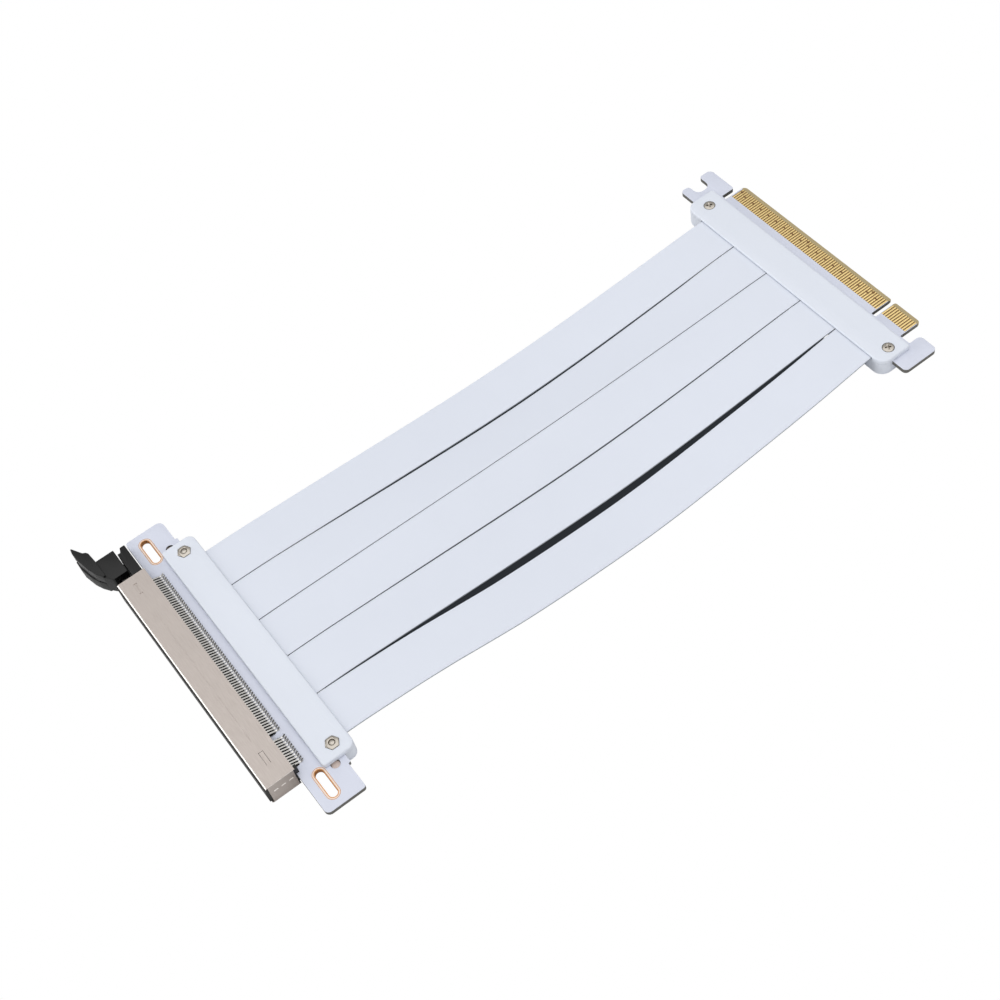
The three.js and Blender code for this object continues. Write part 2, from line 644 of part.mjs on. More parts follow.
function moulding() {
  const inner = SHELL_SHEET + SHELL_GAP;
  const right = SHELL_RIGHT_X - inner;
  const body = box(
    [SHELL_LEFT_X, right],
    [SHELL_FRONT_Y + inner, MOULDING_REAR_Y],
    [inner, SHELL_HEIGHT - inner],
  );
  const nose = box(
    [SHELL_LEFT_X, right],
    [MOULDING_FRONT_Y, SHELL_FRONT_Y + 1],
    [SHELL_LIP + SHELL_GAP, SHELL_HEIGHT - SHELL_LIP - SHELL_GAP],
  );
  const blocks = [1, -1].map((face) => {
    const surface = BOARD_MIDDLE_Z + face * (BOARD_THICKNESS / 2 + BOARD_GAP);
    const outer = SHELL_MIDDLE_Z + face * (SHELL_MIDDLE_Z - 2 * inner);
    return box(
      [right - END_BLOCK_LENGTH, right],
      [MOULDING_REAR_Y - 1, SLOT_BOARD_FRONT_Y + END_BLOCK_REACH],
      [Math.min(surface, outer), Math.max(surface, outer)],
    );
  });
  const groups = [[-ROW_HALF, KEY_X - KEY_TO_CONTACT], [KEY_X + KEY_TO_CONTACT, ROW_HALF]];
  const combs = groups.flatMap(([first, last]) => [1, -1].map((face) => {
    const near = BOARD_MIDDLE_Z + face * (BOARD_THICKNESS / 2 + COMB_GAP);
    const far = near + face * COMB_SHEET;
    return box(
      [first - COMB_PAST_CONTACT, last + COMB_PAST_CONTACT],
      [MOULDING_REAR_Y - 1, SLOT_BOARD_FRONT_Y + COMB_REACH],
      [Math.min(near, far), Math.max(near, far)],
    );
  }));
  const z = SHELL_MIDDLE_Z;
  const slotZ = [z - CARD_SLOT_WIDTH / 2, z + CARD_SLOT_WIDTH / 2];
  const slotY = [MOULDING_FRONT_Y - 1, MOULDING_FRONT_Y + CARD_SLOT_DEPTH];
  const slots = [
    box([EDGE_LEFT_X - CARD_SLOT_PLAY, KEY_X - KEY_RIB_WIDTH / 2], slotY, slotZ),
    box([KEY_X + KEY_RIB_WIDTH / 2, EDGE_RIGHT_X + CARD_SLOT_PLAY], slotY, slotZ),
  ];
  const tails = CONTACT_XS.flatMap((x) => [tail(x, 1), tail(x, -1)]);
  const pieces = [body, nose, ...blocks, ...combs, ...latchFoot(), ...tails].map(solidOf);
  return geometryOf(cutFrom(wasm.Manifold.union(pieces), ...slots));
}

// Latch lever: two cheeks round the post and a wider thumb tab

function lever() {
  const z = SHELL_MIDDLE_Z;
  const alongX = (share) => THUMB_RIGHT_X - share * THUMB_LENGTH;
  const alongY = (share) => LEVER_TOP_Y - share * THUMB_RISE;
  const cheeks = roundedOutline([
    [LEVER_RIGHT_X, LEVER_FOOT_Y, LEVER_CORNER_R],
    [LEVER_RIGHT_X, alongY(-0.27), LEVER_FRONT_CORNER_R],
    [alongX(0.18), alongY(0.19)],
    [LEVER_LEFT_X, alongY(0.19)],
    [LEVER_LEFT_X, LEVER_FOOT_Y, LEVER_CORNER_R],
  ]);
  const thumb = roundedOutline([
    [alongX(0.18), alongY(0)],
    [alongX(0.18), alongY(0.19)],
    [alongX(0.305), alongY(0.5)],
    [alongX(0.45), alongY(0.73)],
    [alongX(0.71), alongY(1)],
    [alongX(0.9), alongY(0.98)],
    [alongX(1.02), alongY(0.86)],
    [alongX(0.8), alongY(0.36)],
    [alongX(0.77), alongY(0.16)],
    [alongX(0.73), alongY(0.06)],
    [LEVER_LEFT_X, alongY(0)],
  ]);
  const whole = joined(
    plate(cheeks, [z - LEVER_HALF, z + LEVER_HALF]),
    plate(thumb, [z - TAB_HALF, z + TAB_HALF]),
  );
  const roomY = PIVOT_Y - POST_R - 2 * PIVOT_PLAY;
  const room = box(
    [PIVOT_X - POST_R - LEVER_ROOM, LEVER_RIGHT_X + 1],
    [roomY, LEVER_FOOT_Y + 1],
    [z - LEVER_SLOT_HALF, z + LEVER_SLOT_HALF],
  );
  const bore = rod(
    PIVOT_X,
    PIVOT_Y,
    PIVOT_PIN_R + PIVOT_PLAY,
    [z - LEVER_SLOT_HALF - 1.3, z + LEVER_SLOT_HALF + 1.3],
    16,
  );
  return geometryOf(cutFrom(whole, room, bore));
}

// Ribbon: a straight flat bar, brought down and bowed along its route
function ribbon(index) {
  const sag = RIBBON_SAG[index];
  const x = RIBBON_CENTRE_X + (index - (RIBBON_COUNT - 1) / 2) * RIBBON_PITCH;
  const half = RIBBON_WIDTH / 2;
  const edge = RIBBON_THICKNESS / 4;
  const section = new THREE.Shape([
    new THREE.Vector2(-half + edge, 0),
    new THREE.Vector2(half - edge, 0),
    new THREE.Vector2(half, edge),
    new THREE.Vector2(half, RIBBON_THICKNESS - edge),
    new THREE.Vector2(half - edge, RIBBON_THICKNESS),
    new THREE.Vector2(-half + edge, RIBBON_THICKNESS),
    new THREE.Vector2(-half, RIBBON_THICKNESS - edge),
    new THREE.Vector2(-half, edge),
  ]);
  const steps = RIBBON_ROUTE.length - 1;
  const reach = COVER_SPACING - 2 * RIBBON_START;
  const geometry = new THREE.ExtrudeGeometry(section, { depth: steps, steps, bevelEnabled: false });
  const place = geometry.attributes.position;
  for (let i = 0; i < place.count; i += 1) {
    const [along, down, out] = RIBBON_ROUTE[Math.round(place.getZ(i))];
    const across = place.getX(i);
    const side = across / RIBBON_WIDTH + 0.5;
    const lowest = THREE.MathUtils.lerp(sag.left, sag.right, side) * RIBBON_TOP_Z - RIBBON_THICKNESS;
    const z = THREE.MathUtils.lerp(RIBBON_BOTTOM_Z, lowest, down) + place.getY(i);
    const bow = THREE.MathUtils.lerp(sag.leftOut, sag.rightOut, side) * RIBBON_WIDTH * out;
    const y = RIBBON_START + along * reach;
    place.setXYZ(i, x + across + bow, y, z);
  }
  return flipped(geometry);
}

// Turns every face round, because the bar's route runs the other way from its drawing
function flipped(geometry) {
  const place = geometry.attributes.position;
  for (let i = 0; i < place.count; i += 3) {
    const first = new THREE.Vector3().fromBufferAttribute(place, i);
    const last = new THREE.Vector3().fromBufferAttribute(place, i + 2);
    place.setXYZ(i, last.x, last.y, last.z);
    place.setXYZ(i + 2, first.x, first.y, first.z);
  }
  geometry.deleteAttribute('normal');
  geometry.deleteAttribute('uv');
  return geometry;
}

addPiece('slot_board', slotBoard(), MATERIALS.boardWhite);
addPiece('slot_housing', moulding(), MATERIALS.black);
addPiece('slot_shield', shell(), MATERIALS.steel);
addPiece('latch_lever', lever(), MATERIALS.black);
addPiece('plug_board', plugBoard(), MATERIALS.boardWhite);

const slotEnd = new THREE.Group();
const plugEnd = new THREE.Group();
plugEnd.rotation.z = Math.PI;
plugEnd.position.y = COVER_SPACING;
group.add(slotEnd, plugEnd);

addPiece('slot_upper_cover', upperCover(SLOT_COVER, RIBBON_CENTRE_X, true), MATERIALS.coverWhite, slotEnd);
addPiece('slot_lower_cover', lowerCover(SLOT_COVER, EAR_STEP_Y, false), MATERIALS.coverWhite, slotEnd);
addPiece('plug_upper_cover', upperCover(PLUG_COVER, -RIBBON_CENTRE_X, false), MATERIALS.coverWhite, plugEnd);
addPiece('plug_lower_cover', lowerCover(PLUG_COVER, TAB_FOOT, true), MATERIALS.coverWhite, plugEnd);

const SCREW_LENGTH = COVER_TOP_Z - NUT_RECESS + NUT_HEIGHT;
const slotPlaces = screwPlaces(SLOT_COVER);
const plugPlaces = screwPlaces(PLUG_COVER).reverse(); // the plug's end is turned round
['left', 'right'].forEach((side, i) => {
  const slotScrew = addPiece(`slot_screw_${side}`, screw(SCREW_LENGTH), MATERIALS.nickel, slotEnd);
  slotScrew.position.set(...slotPlaces[i], FIT);
  const slotNut = addPiece(`slot_nut_${side}`, nut(), MATERIALS.nickel, slotEnd);
  slotNut.position.set(...slotPlaces[i], COVER_TOP_Z - NUT_RECESS + FIT);
  const plugScrew = addPiece(`plug_screw_${side}`, screw(COVER_TOP_Z - 2 * FIT), MATERIALS.nickel, plugEnd);
  plugScrew.rotation.x = Math.PI;
  plugScrew.position.set(...plugPlaces[i], COVER_TOP_Z + HEAD_HEIGHT - HEAD_RECESS + FIT);
  const plugNut = addPiece(`plug_nut_${side}`, nut(), MATERIALS.nickel, plugEnd);
  plugNut.position.set(...plugPlaces[i], FIT);
});

for (let i = 0; i < RIBBON_COUNT; i += 1) {
  addPiece(`ribbon_${i + 1}`, ribbon(i), MATERIALS.ribbonWhite);
}

export default group;
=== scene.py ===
"""Looks of a white riser cable for a graphics card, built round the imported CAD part.

Sizes are written in millimetres and turned into metres where a mesh is made.
X runs along the slot, Y from the slot to the plug, Z up from the surface it lies on.
"""

import math

import bmesh
import bpy
import numpy as np
from mathutils import Matrix, Vector


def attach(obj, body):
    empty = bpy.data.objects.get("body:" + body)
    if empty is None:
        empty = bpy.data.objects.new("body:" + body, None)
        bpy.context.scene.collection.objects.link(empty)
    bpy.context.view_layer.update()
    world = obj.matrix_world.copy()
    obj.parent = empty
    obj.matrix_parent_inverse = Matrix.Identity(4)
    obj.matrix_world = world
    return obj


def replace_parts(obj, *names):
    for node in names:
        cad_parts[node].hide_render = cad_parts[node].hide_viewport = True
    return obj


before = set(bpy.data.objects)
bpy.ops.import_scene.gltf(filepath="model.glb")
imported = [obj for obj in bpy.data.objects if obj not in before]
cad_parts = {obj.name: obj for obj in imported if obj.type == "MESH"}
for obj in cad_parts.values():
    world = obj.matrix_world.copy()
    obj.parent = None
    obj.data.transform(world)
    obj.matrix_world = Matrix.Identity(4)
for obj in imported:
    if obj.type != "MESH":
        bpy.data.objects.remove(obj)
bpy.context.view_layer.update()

MM = 0.001
ROOT = "root"
LEVER = "lever"

# Contacts
PITCH = 1.0
KEY_X = 30.0
LONG_COUNT = 71
SHORT_COUNT = 11
LONG_START = KEY_X - 1.5 - (LONG_COUNT - 1) * PITCH
SHORT_START = KEY_X + 1.5

# Boards
BOARD_LOW = 3.4
BOARD_TOP = 5.0
BOARD_MIDDLE = (BOARD_LOW + BOARD_TOP) / 2
BOARD_FRONT = -13.1
PLUG_Y = 214.2
SCREW_X = 43.4
SCREW_HOLE_R = 1.15
SLOT_SCREWS = ((-SCREW_X, 0.0), (SCREW_X, 0.0))
PLUG_SCREWS = ((0.6 - SCREW_X, PLUG_Y + 0.3), (0.6 + SCREW_X, PLUG_Y + 0.3))
TONGUE_X = 46.0
EAR_X = 60.3
EAR_REAR = 0.3
EAR_STEP = 1.1
EAR_STEP_X = 50.9
EAR_SLOT_X = 52.0
EAR_SLOT_Y = -8.1
PEG_X = 48.6
PEG_Y = -2.7
PLUG_FOOT = PLUG_Y - 1.5
PLUG_SHOULDER = PLUG_Y + 7.4
EDGE_TIP = PLUG_Y + 16.3
EDGE_LEFT = -42.5
EDGE_RIGHT = 42.15
EDGE_NOTCH = (29.05, 30.95)
BEVEL = 1.55
BEVEL_DROP = 0.42
FINGER_HALF = 0.31
FINGER_LENGTH = 5.05

# Covers
COVER_HALF_X = 48.0
COVER_FRONT = 6.05
COVER_TOP = 6.8
ROOF_LOW = 6.2
BAND_MIDDLE = 1.63
BAND_HALF = 41.21
NUT_FLATS = 4.0
NUT_POCKET_FLATS = 4.2
HEAD_POCKET_R = 2.05

# Length and width of the lines round a plated slot, from the outermost in
SLOT_RINGS = ((11.7, 4.5), (11.4, 4.2), (10.75, 3.35), (10.2, 2.8))

# Connector
SHELL_LEFT = -45.0
SHELL_RIGHT = 44.5
SHELL_FRONT = -23.0
SHELL_TOP = 9.0
SHELL_MIDDLE = 4.5
SHEET = 0.3
SHELL_BEND_R = 0.6
MOULDING_RIGHT = 44.0
PIVOT = (-49.5, -18.9)

# Ribbons
RIBBON_PITCH = 16.53
RIBBON_WIDTH = 16.3
RIBBON_THICK = 0.6
RIBBON_LOW = 5.3
RIBBON_START = 2.3

# Camera, in millimetres
CAMERA_PLACE = (280.18, -41.08, 425.75)
CAMERA_RIGHT = (0.5877, 0.79698, -0.1394)
CAMERA_FORWARD = (-0.52799, 0.24723, -0.81247)
CAMERA_LENS = 59.89
PICTURE_SIZE = 1000

# Limits of the painted shade on the floor under the ribbons, seen through the slits between them
PAINTED_SHADE_X = (-26, 36)
PAINTED_SHADE_Y = (9, 206)

# Colours and shader nodes


def linear(hex_text):
    """An sRGB colour written as rrggbb, as the linear values that a shader takes."""
    values = [int(hex_text[i : i + 2], 16) / 255 for i in (0, 2, 4)]
    return tuple(v / 12.92 if v <= 0.04045 else ((v + 0.055) / 1.055) ** 2.4 for v in values) + (1.0,)


def add_node(tree, kind, inputs=None, **settings):
    """A shader or geometry node with its settings made and its inputs set or joined."""
    node = tree.nodes.new(kind)
    for name, value in settings.items():
        setattr(node, name, value)
    for key, value in (inputs or {}).items():
        if isinstance(value, bpy.types.NodeSocket):
            tree.links.new(value, node.inputs[key])
        else:
            node.inputs[key].default_value = value
    return node


def grain(tree, size, detail=4.0, stretch=(1.0, 1.0, 1.0)):
    """Noise whose blobs are about size millimetres wide."""
    place = add_node(tree, "ShaderNodeTexCoord")
    scaled = add_node(tree, "ShaderNodeMapping", {"Vector": place.outputs["Object"], "Scale": stretch})
    noise = add_node(
        tree,
        "ShaderNodeTexNoise",
        {"Vector": scaled.outputs["Vector"], "Scale": 1 / (size * MM), "Detail": detail},
    )
    return noise.outputs["Fac"]


def spread(tree, value, low, high):
    """The same pattern with its values spread between low and high."""
    ranged = add_node(
        tree,
        "ShaderNodeMapRange",
        {"Value": value, "From Min": 0.3, "From Max": 0.7, "To Min": low, "To Max": high},
    )
    return ranged.outputs["Result"]


def blended(tree, amount, first, second):
    """One colour laid over another by an amount from 0 to 1."""
    mix = add_node(tree, "ShaderNodeMix", data_type="RGBA")
    sockets = {s.identifier: s for s in mix.inputs}
    for name, value in (("Factor_Float", amount), ("A_Color", first), ("B_Color", second)):
        if isinstance(value, bpy.types.NodeSocket):
            tree.links.new(value, sockets[name])
        else:
            sockets[name].default_value = value
    return {s.identifier: s for s in mix.outputs}["Result_Color"]


def new_material(name):
    """An empty node material and its tree."""
    material = bpy.data.materials.new(name)
    material.use_nodes = True
    material.node_tree.nodes.clear()
    return material, material.node_tree


def surface(tree, inputs, bump=None, depth=0.0):
    """Joins a principled shader to the output, with a bump of depth millimetres."""
    if bump is not None:
        normal = add_node(tree, "ShaderNodeBump", {"Height": bump, "Distance": depth * MM, "Strength": 1.0})
        inputs = dict(inputs, Normal=normal.outputs["Normal"])
    shader = add_node(tree, "ShaderNodeBsdfPrincipled", inputs)
    add_node(tree, "ShaderNodeOutputMaterial", {"Surface": shader.outputs["BSDF"]})


def plastic(name, colour, roughness, grain_size, bump_depth, ior=1.46, tint=0.03):
    """Moulded plastic with a fine spark-eroded grain."""
    material, tree = new_material(name)
    fine = grain(tree, grain_size)
    broad = grain(tree, 14.0, 2.0)
    base = linear(colour)
    darker = tuple(v * (1 - tint) for v in base[:3]) + (1.0,)
    surface(
        tree,
        {
            "Base Color": blended(tree, broad, base, darker),
            "Roughness": spread(tree, broad, roughness - 0.04, roughness + 0.04),
            "IOR": ior,
        },
        fine,
        bump_depth,
    )
    return material


def metal(name, colour, roughness, stretch=(1.0, 1.0, 1.0), size=0.4, bump_depth=0.002, tint=0.12):
    """Bare or plated metal whose grain runs along the stretched axis."""
    material, tree = new_material(name)
    lines = grain(tree, size, 3.0, stretch)
    broad = grain(tree, 9.0, 3.0)
    base = linear(colour)
    darker = tuple(v * (1 - tint) for v in base[:3]) + (1.0,)
    surface(
        tree,
        {
            "Base Color": blended(tree, broad, base, darker),
            "Metallic": 1.0,
            "Roughness": spread(tree, lines, roughness - 0.08, roughness + 0.1),
        },
        lines,
        bump_depth,
    )
    return material


# Injection-moulded ABS of the covers: satin, with a grain of 0.2 mm
COVER = plastic("injection_moulded_white_abs", "E0E5EF", 0.42, 0.2, 0.004)
# Glass-filled nylon of the connector and latch, moulded black, with a grain of 0.3 mm
NYLON = plastic("moulded_black_glass_filled_nylon", "090909", 0.36, 0.3, 0.01, 1.42, 0.2)
# Extruded PVC jacket of the ribbons, smooth from the rollers, with a grain of 0.6 mm
JACKET = plastic("extruded_white_pvc_jacket", "DDE2ED", 0.46, 0.6, 0.006, 1.52, 0.02)
# The jacket's sides, darker than the jacket as painted shade, and duller, with a grain of 0.3 mm
RIBBON_SIDE_SHADE = plastic("white_pvc_side_painted_shade", "9A9EA6", 0.6, 0.3, 0.01, 1.52, 0.1)
# White solder mask printed over the board, glossy, with an orange peel of 1.2 mm
MASK = plastic("printed_white_solder_mask", "D6DAE8", 0.35, 1.2, 0.005, 1.5, 0.03)
# Routed edge of glass fibre board, with fibres of 0.25 mm
CORE = plastic("routed_glass_fibre_edge", "66645F", 0.65, 0.25, 0.03, 1.5, 0.25)
# Bevelled edge of the card edge, bare resin ground at an angle, with a grain of 0.2 mm
GROUND = plastic("ground_glass_fibre_bevel", "B9A77C", 0.6, 0.2, 0.02, 1.5, 0.2)
# Bare resin between the fingers, where the mask is left open, with a grain of 0.2 mm
RESIN = plastic("bare_glass_fibre_between_fingers", "7A5220", 0.5, 0.2, 0.01, 1.5, 0.3)
# Tinted nylon of the pegs in the board's holes, with a grain of 0.3 mm
PEG = plastic("moulded_pale_nylon_peg", "E2CFC6", 0.5, 0.3, 0.004, 1.5, 0.05)
# Stainless sheet of the shell, brushed along its length in lines of 0.25 mm
SHELL = metal("brushed_stainless_sheet", "C4BBB5", 0.5, (0.06, 1.0, 1.0), 0.25, 0.0012, 0.07)
# The same sheet, paler and smoother, on the bends and edges that face up and out: a painted highlight, with
# lines of 0.25 mm
BEND_HIGHLIGHT = metal("stainless_bend_painted_highlight", "EFEBE6", 0.34, (0.06, 1.0, 1.0), 0.25, 0.0005, 0.05)
# Nickel plating on the screws and nuts, barrel plated, with a grain of 0.3 mm
NICKEL = metal("barrel_plated_nickel", "C4BDB3", 0.3, (1.0, 1.0, 1.0), 0.3, 0.002)
# Bright tin on the contact tails, reflowed, with a grain of 0.3 mm
TIN = metal("reflowed_tin_plating", "E2E0DC", 0.32, (1.0, 1.0, 1.0), 0.3, 0.004)
# Hard gold on the fingers and springs, electroplated, with a grain of 0.3 mm
GOLD = metal("electroplated_hard_gold", "F6DA98", 0.32, (1.0, 1.0, 1.0), 0.3, 0.002)
# Gold over copper in the ears' plated slots, with a grain of 0.4 mm
COPPER = metal("immersion_gold_over_copper", "D29660", 0.4, (1.0, 1.0, 1.0), 0.4, 0.003)
# Thin mask over the copper ring round each plated slot, with a grain of 0.4 mm
TINTED = plastic("solder_mask_over_copper", "F1E0D2", 0.4, 0.4, 0.004, 1.5, 0.05)


# Meshes


def shown(name, mesh, material, body=ROOT, angle=35.0):
    """Puts a finished mesh in the scene, smooth except at edges sharper than angle."""
    working = bmesh.new()
    working.from_mesh(mesh)
    bmesh.ops.remove_doubles(working, verts=working.verts, dist=0.002 * MM)
    bmesh.ops.dissolve_degenerate(working, edges=working.edges, dist=0.001 * MM)
    for face in working.faces:
        face.smooth = True
    for edge in working.edges:
        sharp = len(edge.link_faces) != 2 or edge.calc_face_angle(0.0) > math.radians(angle)
        edge.smooth = not sharp
    working.to_mesh(mesh)
    working.free()
    mesh.name = name
    piece = bpy.data.objects.new(name, mesh)
    bpy.context.scene.collection.objects.link(piece)
    if material is not None and not mesh.materials:
        mesh.materials.append(material)
    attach(piece, body)
    return piece


def plain_mesh(piece):
    """The mesh of a scratch object with its modifiers made real; the object goes."""
    graph = bpy.context.evaluated_depsgraph_get()
    mesh = bpy.data.meshes.new_from_object(piece.evaluated_get(graph))
    mesh.transform(piece.matrix_world)
    data = piece.data
    bpy.data.objects.remove(piece)
    if isinstance(data, bpy.types.Curve):
        bpy.data.curves.remove(data)
    return mesh


def scratch(mesh):
    """A linked object for a mesh, to put modifiers on."""
    piece = bpy.data.objects.new("scratch", mesh)
    bpy.context.scene.collection.objects.link(piece)
    return piece


def from_lists(points, faces):
    """A mesh from points in millimetres."""
    mesh = bpy.data.meshes.new("mesh")
    mesh.from_pydata([Vector(p) * MM for p in points], [], faces)
    mesh.validate()
    return mesh


def rounded(corners, steps=6):
    """A closed line through (x, y, radius) corners, each rounded by its radius."""
    line = []
    count = len(corners)
    for i, corner in enumerate(corners):
        here = Vector(corner[:2])
        radius = corner[2] if len(corner) > 2 else 0.0
        if radius == 0:
            line.append(tuple(here))
            continue
        back = (Vector(corners[i - 1][:2]) - here).normalized()
        ahead = (Vector(corners[(i + 1) % count][:2]) - here).normalized()
        half = math.acos(max(-1.0, min(1.0, back.dot(ahead)))) / 2
        centre = here + (back + ahead).normalized() * (radius / math.sin(half))
        start = here + back * (radius / math.tan(half)) - centre
        end = here + ahead * (radius / math.tan(half)) - centre
        turn = math.atan2(start.x * end.y - start.y * end.x, start.dot(end))
        for k in range(steps + 1):
            angle = turn * k / steps
            cos, sin = math.cos(angle), math.sin(angle)
            line.append((centre.x + start.x * cos - start.y * sin, centre.y + start.x * sin + start.y * cos))
    return line


def ring(x, y, radius, steps=32):
    """A closed round line."""
    return [
        (x + radius * math.cos(2 * math.pi * k / steps), y + radius * math.sin(2 * math.pi * k / steps))
        for k in range(steps)
    ]


def stadium(x, y, length, width):
    """A closed line round a slot with round ends."""
    half = length / 2
    side = width / 2
    corners = ((-half, -side), (half, -side), (half, side), (-half, side))
    return rounded([(x + dx, y + dy, side) for dx, dy in corners], 8)


def strip(x0, x1, y0, y1, near_radius, far_radius):
    """The corners of a rectangle, with a radius for those at y0 and one for those at y1."""
    return [(x0, y0, near_radius), (x1, y0, near_radius), (x1, y1, far_radius), (x0, y1, far_radius)]


def plate_mesh(loops, low, high, edge=0.05, rounds=2):
    """A flat plate with the first line as outline and the rest as holes, its edges rounded."""
    curve = bpy.data.curves.new("plate", "CURVE")
    curve.dimensions = "2D"
    curve.fill_mode = "BOTH"
    for loop in loops:
        spline = curve.splines.new("POLY")
        spline.points.add(len(loop) - 1)
        for point, (x, y) in zip(spline.points, loop):
            point.co = (x * MM, y * MM, 0.0, 1.0)
        spline.use_cyclic_u = True
    curve.extrude = ((high - low) / 2 - edge) * MM
    curve.bevel_depth = edge * MM
    curve.bevel_resolution = rounds
    curve.offset = -edge * MM
    piece = bpy.data.objects.new("plate", curve)
    bpy.context.scene.collection.objects.link(piece)
    mesh = plain_mesh(piece)
    mesh.transform(Matrix.Translation((0, 0, (low + high) / 2 * MM)))
    working = bmesh.new()
    working.from_mesh(mesh)
    bmesh.ops.remove_doubles(working, verts=working.verts, dist=0.001 * MM)
    bmesh.ops.recalc_face_normals(working, faces=working.faces)
    working.to_mesh(mesh)
    working.free()
    return mesh


def block(x, y, z):
    """A box between two limits along each axis."""
    mesh = bpy.data.meshes.new("block")
    working = bmesh.new()
    size = [b - a for a, b in (x, y, z)]
    middle = [(a + b) / 2 for a, b in (x, y, z)]
    place = Matrix.Translation(Vector(middle) * MM) @ Matrix.Diagonal((*[s * MM for s in size], 1.0))
    bmesh.ops.create_cube(working, size=1.0, matrix=place)
    working.to_mesh(mesh)
    working.free()
    return mesh


def lathe(profile, x, y, steps=32):
    """A solid turned round a vertical axis from (radius, height) points, from bottom to top."""
    points = []
    faces = []
    for radius, height in profile:
        for k in range(steps):
            angle = 2 * math.pi * k / steps
            points.append((x + radius * math.cos(angle), y + radius * math.sin(angle), height))
    for row in range(len(profile) - 1):
        for k in range(steps):
            a = row * steps + k
            b = row * steps + (k + 1) % steps
            faces.append((a, b, b + steps, a + steps))
    last = (len(profile) - 1) * steps
    faces.append(tuple(reversed(range(steps))))
    faces.append(tuple(last + k for k in range(steps)))
    return from_lists(points, faces)


def bar(points, x0, x1):
    """A solid with an outline in Y and Z, run along X."""
    count = len(points)
    places = [(x0, y, z) for y, z in points] + [(x1, y, z) for y, z in points]
    faces = [(i, (i + 1) % count, count + (i + 1) % count, count + i) for i in range(count)]
    faces += [tuple(reversed(range(count))), tuple(range(count, 2 * count))]
    mesh = from_lists(places, faces)
    working = bmesh.new()
    working.from_mesh(mesh)
    bmesh.ops.recalc_face_normals(working, faces=working.faces)
    working.to_mesh(mesh)
    working.free()
    return mesh


def merged(meshes):
    """Several meshes as one, each left as it is."""
    whole = bpy.data.meshes.new("merged")
    working = bmesh.new()
    for mesh in meshes:
        working.from_mesh(mesh)
    working.to_mesh(whole)
    working.free()
    return whole


def combined(mesh, tools, operation):
    """A mesh with tools cut from it, added to it or kept in common, one after another."""
    piece = scratch(mesh)
    helpers = []
    for tool in tools:
        helper = scratch(tool)
        helper.hide_render = True
        change = piece.modifiers.new("change", "BOOLEAN")
        change.operation = operation
        change.object = helper
        change.solver = "EXACT"
        helpers.append(helper)
    result = plain_mesh(piece)
    for helper in helpers:
        bpy.data.objects.remove(helper)
    return result


def cut(mesh, *tools):
    """A mesh with tools cut from it."""
    return combined(mesh, tools, "DIFFERENCE")


def softened(mesh, width, segments=2, angle=40.0):
    """A mesh with its sharp edges rounded by width."""
    piece = scratch(mesh)
    soft = piece.modifiers.new("soft", "BEVEL")
    soft.width = width * MM
    soft.segments = segments
    soft.limit_method = "ANGLE"
    soft.angle_limit = math.radians(angle)
    return plain_mesh(piece)


def turned(mesh, plug):
    """A mesh of a cover drawn round the origin, moved to the plug's end and turned round."""
    if plug:
        mesh.transform(Matrix.Translation((0, PLUG_Y * MM, 0)) @ Matrix.Rotation(math.pi, 4, "Z"))
    return mesh


def edge_coloured(piece, flat_material, side_material):
    """Gives the faces that look up or down one material and the rest another."""
    mesh = piece.data
    mesh.materials.clear()
    mesh.materials.append(flat_material)
    mesh.materials.append(side_material)
    for face in mesh.polygons:
        face.material_index = 0 if abs(face.normal.z) > 0.5 else 1


# Rows of like pieces


def row_group():
    """Geometry nodes that set count copies of a piece in a row and give them one material."""
    tree = bpy.data.node_groups.new("row_of_copies", "GeometryNodeTree")
    face = tree.interface
    face.new_socket("Geometry", in_out="OUTPUT", socket_type="NodeSocketGeometry")
    kinds = {"Piece": "Object", "Count": "Int", "Step": "Vector", "Start": "Vector", "Material": "Material"}
    for name, kind in kinds.items():
        face.new_socket(name, in_out="INPUT", socket_type=f"NodeSocket{kind}")
    given = add_node(tree, "NodeGroupInput")
    line = add_node(
        tree,
        "GeometryNodeMeshLine",
        {
            "Count": given.outputs["Count"],
            "Offset": given.outputs["Step"],
            "Start Location": given.outputs["Start"],
        },
        mode="OFFSET",
    )
    piece = add_node(tree, "GeometryNodeObjectInfo", {"Object": given.outputs["Piece"]})
    copies = add_node(
        tree,
        "GeometryNodeInstanceOnPoints",
        {"Points": line.outputs["Mesh"], "Instance": piece.outputs["Geometry"]},
    )
    real = add_node(tree, "GeometryNodeRealizeInstances", {"Geometry": copies.outputs["Instances"]})
    painted = add_node(
        tree,
        "GeometryNodeSetMaterial",
        {"Geometry": real.outputs["Geometry"], "Material": given.outputs["Material"]},
    )
    result = add_node(tree, "NodeGroupOutput")
    tree.links.new(painted.outputs["Geometry"], result.inputs["Geometry"])
    return tree


ROW = row_group()


def row_mesh(mesh, start, count, material, step=PITCH):
    """The mesh of count copies of a piece drawn at x = 0, set in a row along X."""
    original = scratch(mesh)
    carrier = scratch(bpy.data.meshes.new("carrier"))
    rows = carrier.modifiers.new("rows", "NODES")
    rows.node_group = ROW
    values = {
        "Piece": original,
        "Count": count,
        "Step": (step * MM, 0.0, 0.0),
        "Start": (start * MM, 0.0, 0.0),
        "Material": material,
    }
    for item in ROW.interface.items_tree:
        if item.in_out == "INPUT":
            rows[item.identifier] = values[item.name]
    result = plain_mesh(carrier)
    bpy.data.objects.remove(original)
    return result


def contact_rows(mesh, material):
    """Copies of a piece drawn at x = 0, one at each contact of both groups."""
    rows = [
        row_mesh(mesh, LONG_START, LONG_COUNT, material),
        row_mesh(mesh, SHORT_START, SHORT_COUNT, material),
    ]
    whole = merged(rows)
    whole.materials.append(material)
    return whole


# Camera, at the photograph's viewing angle


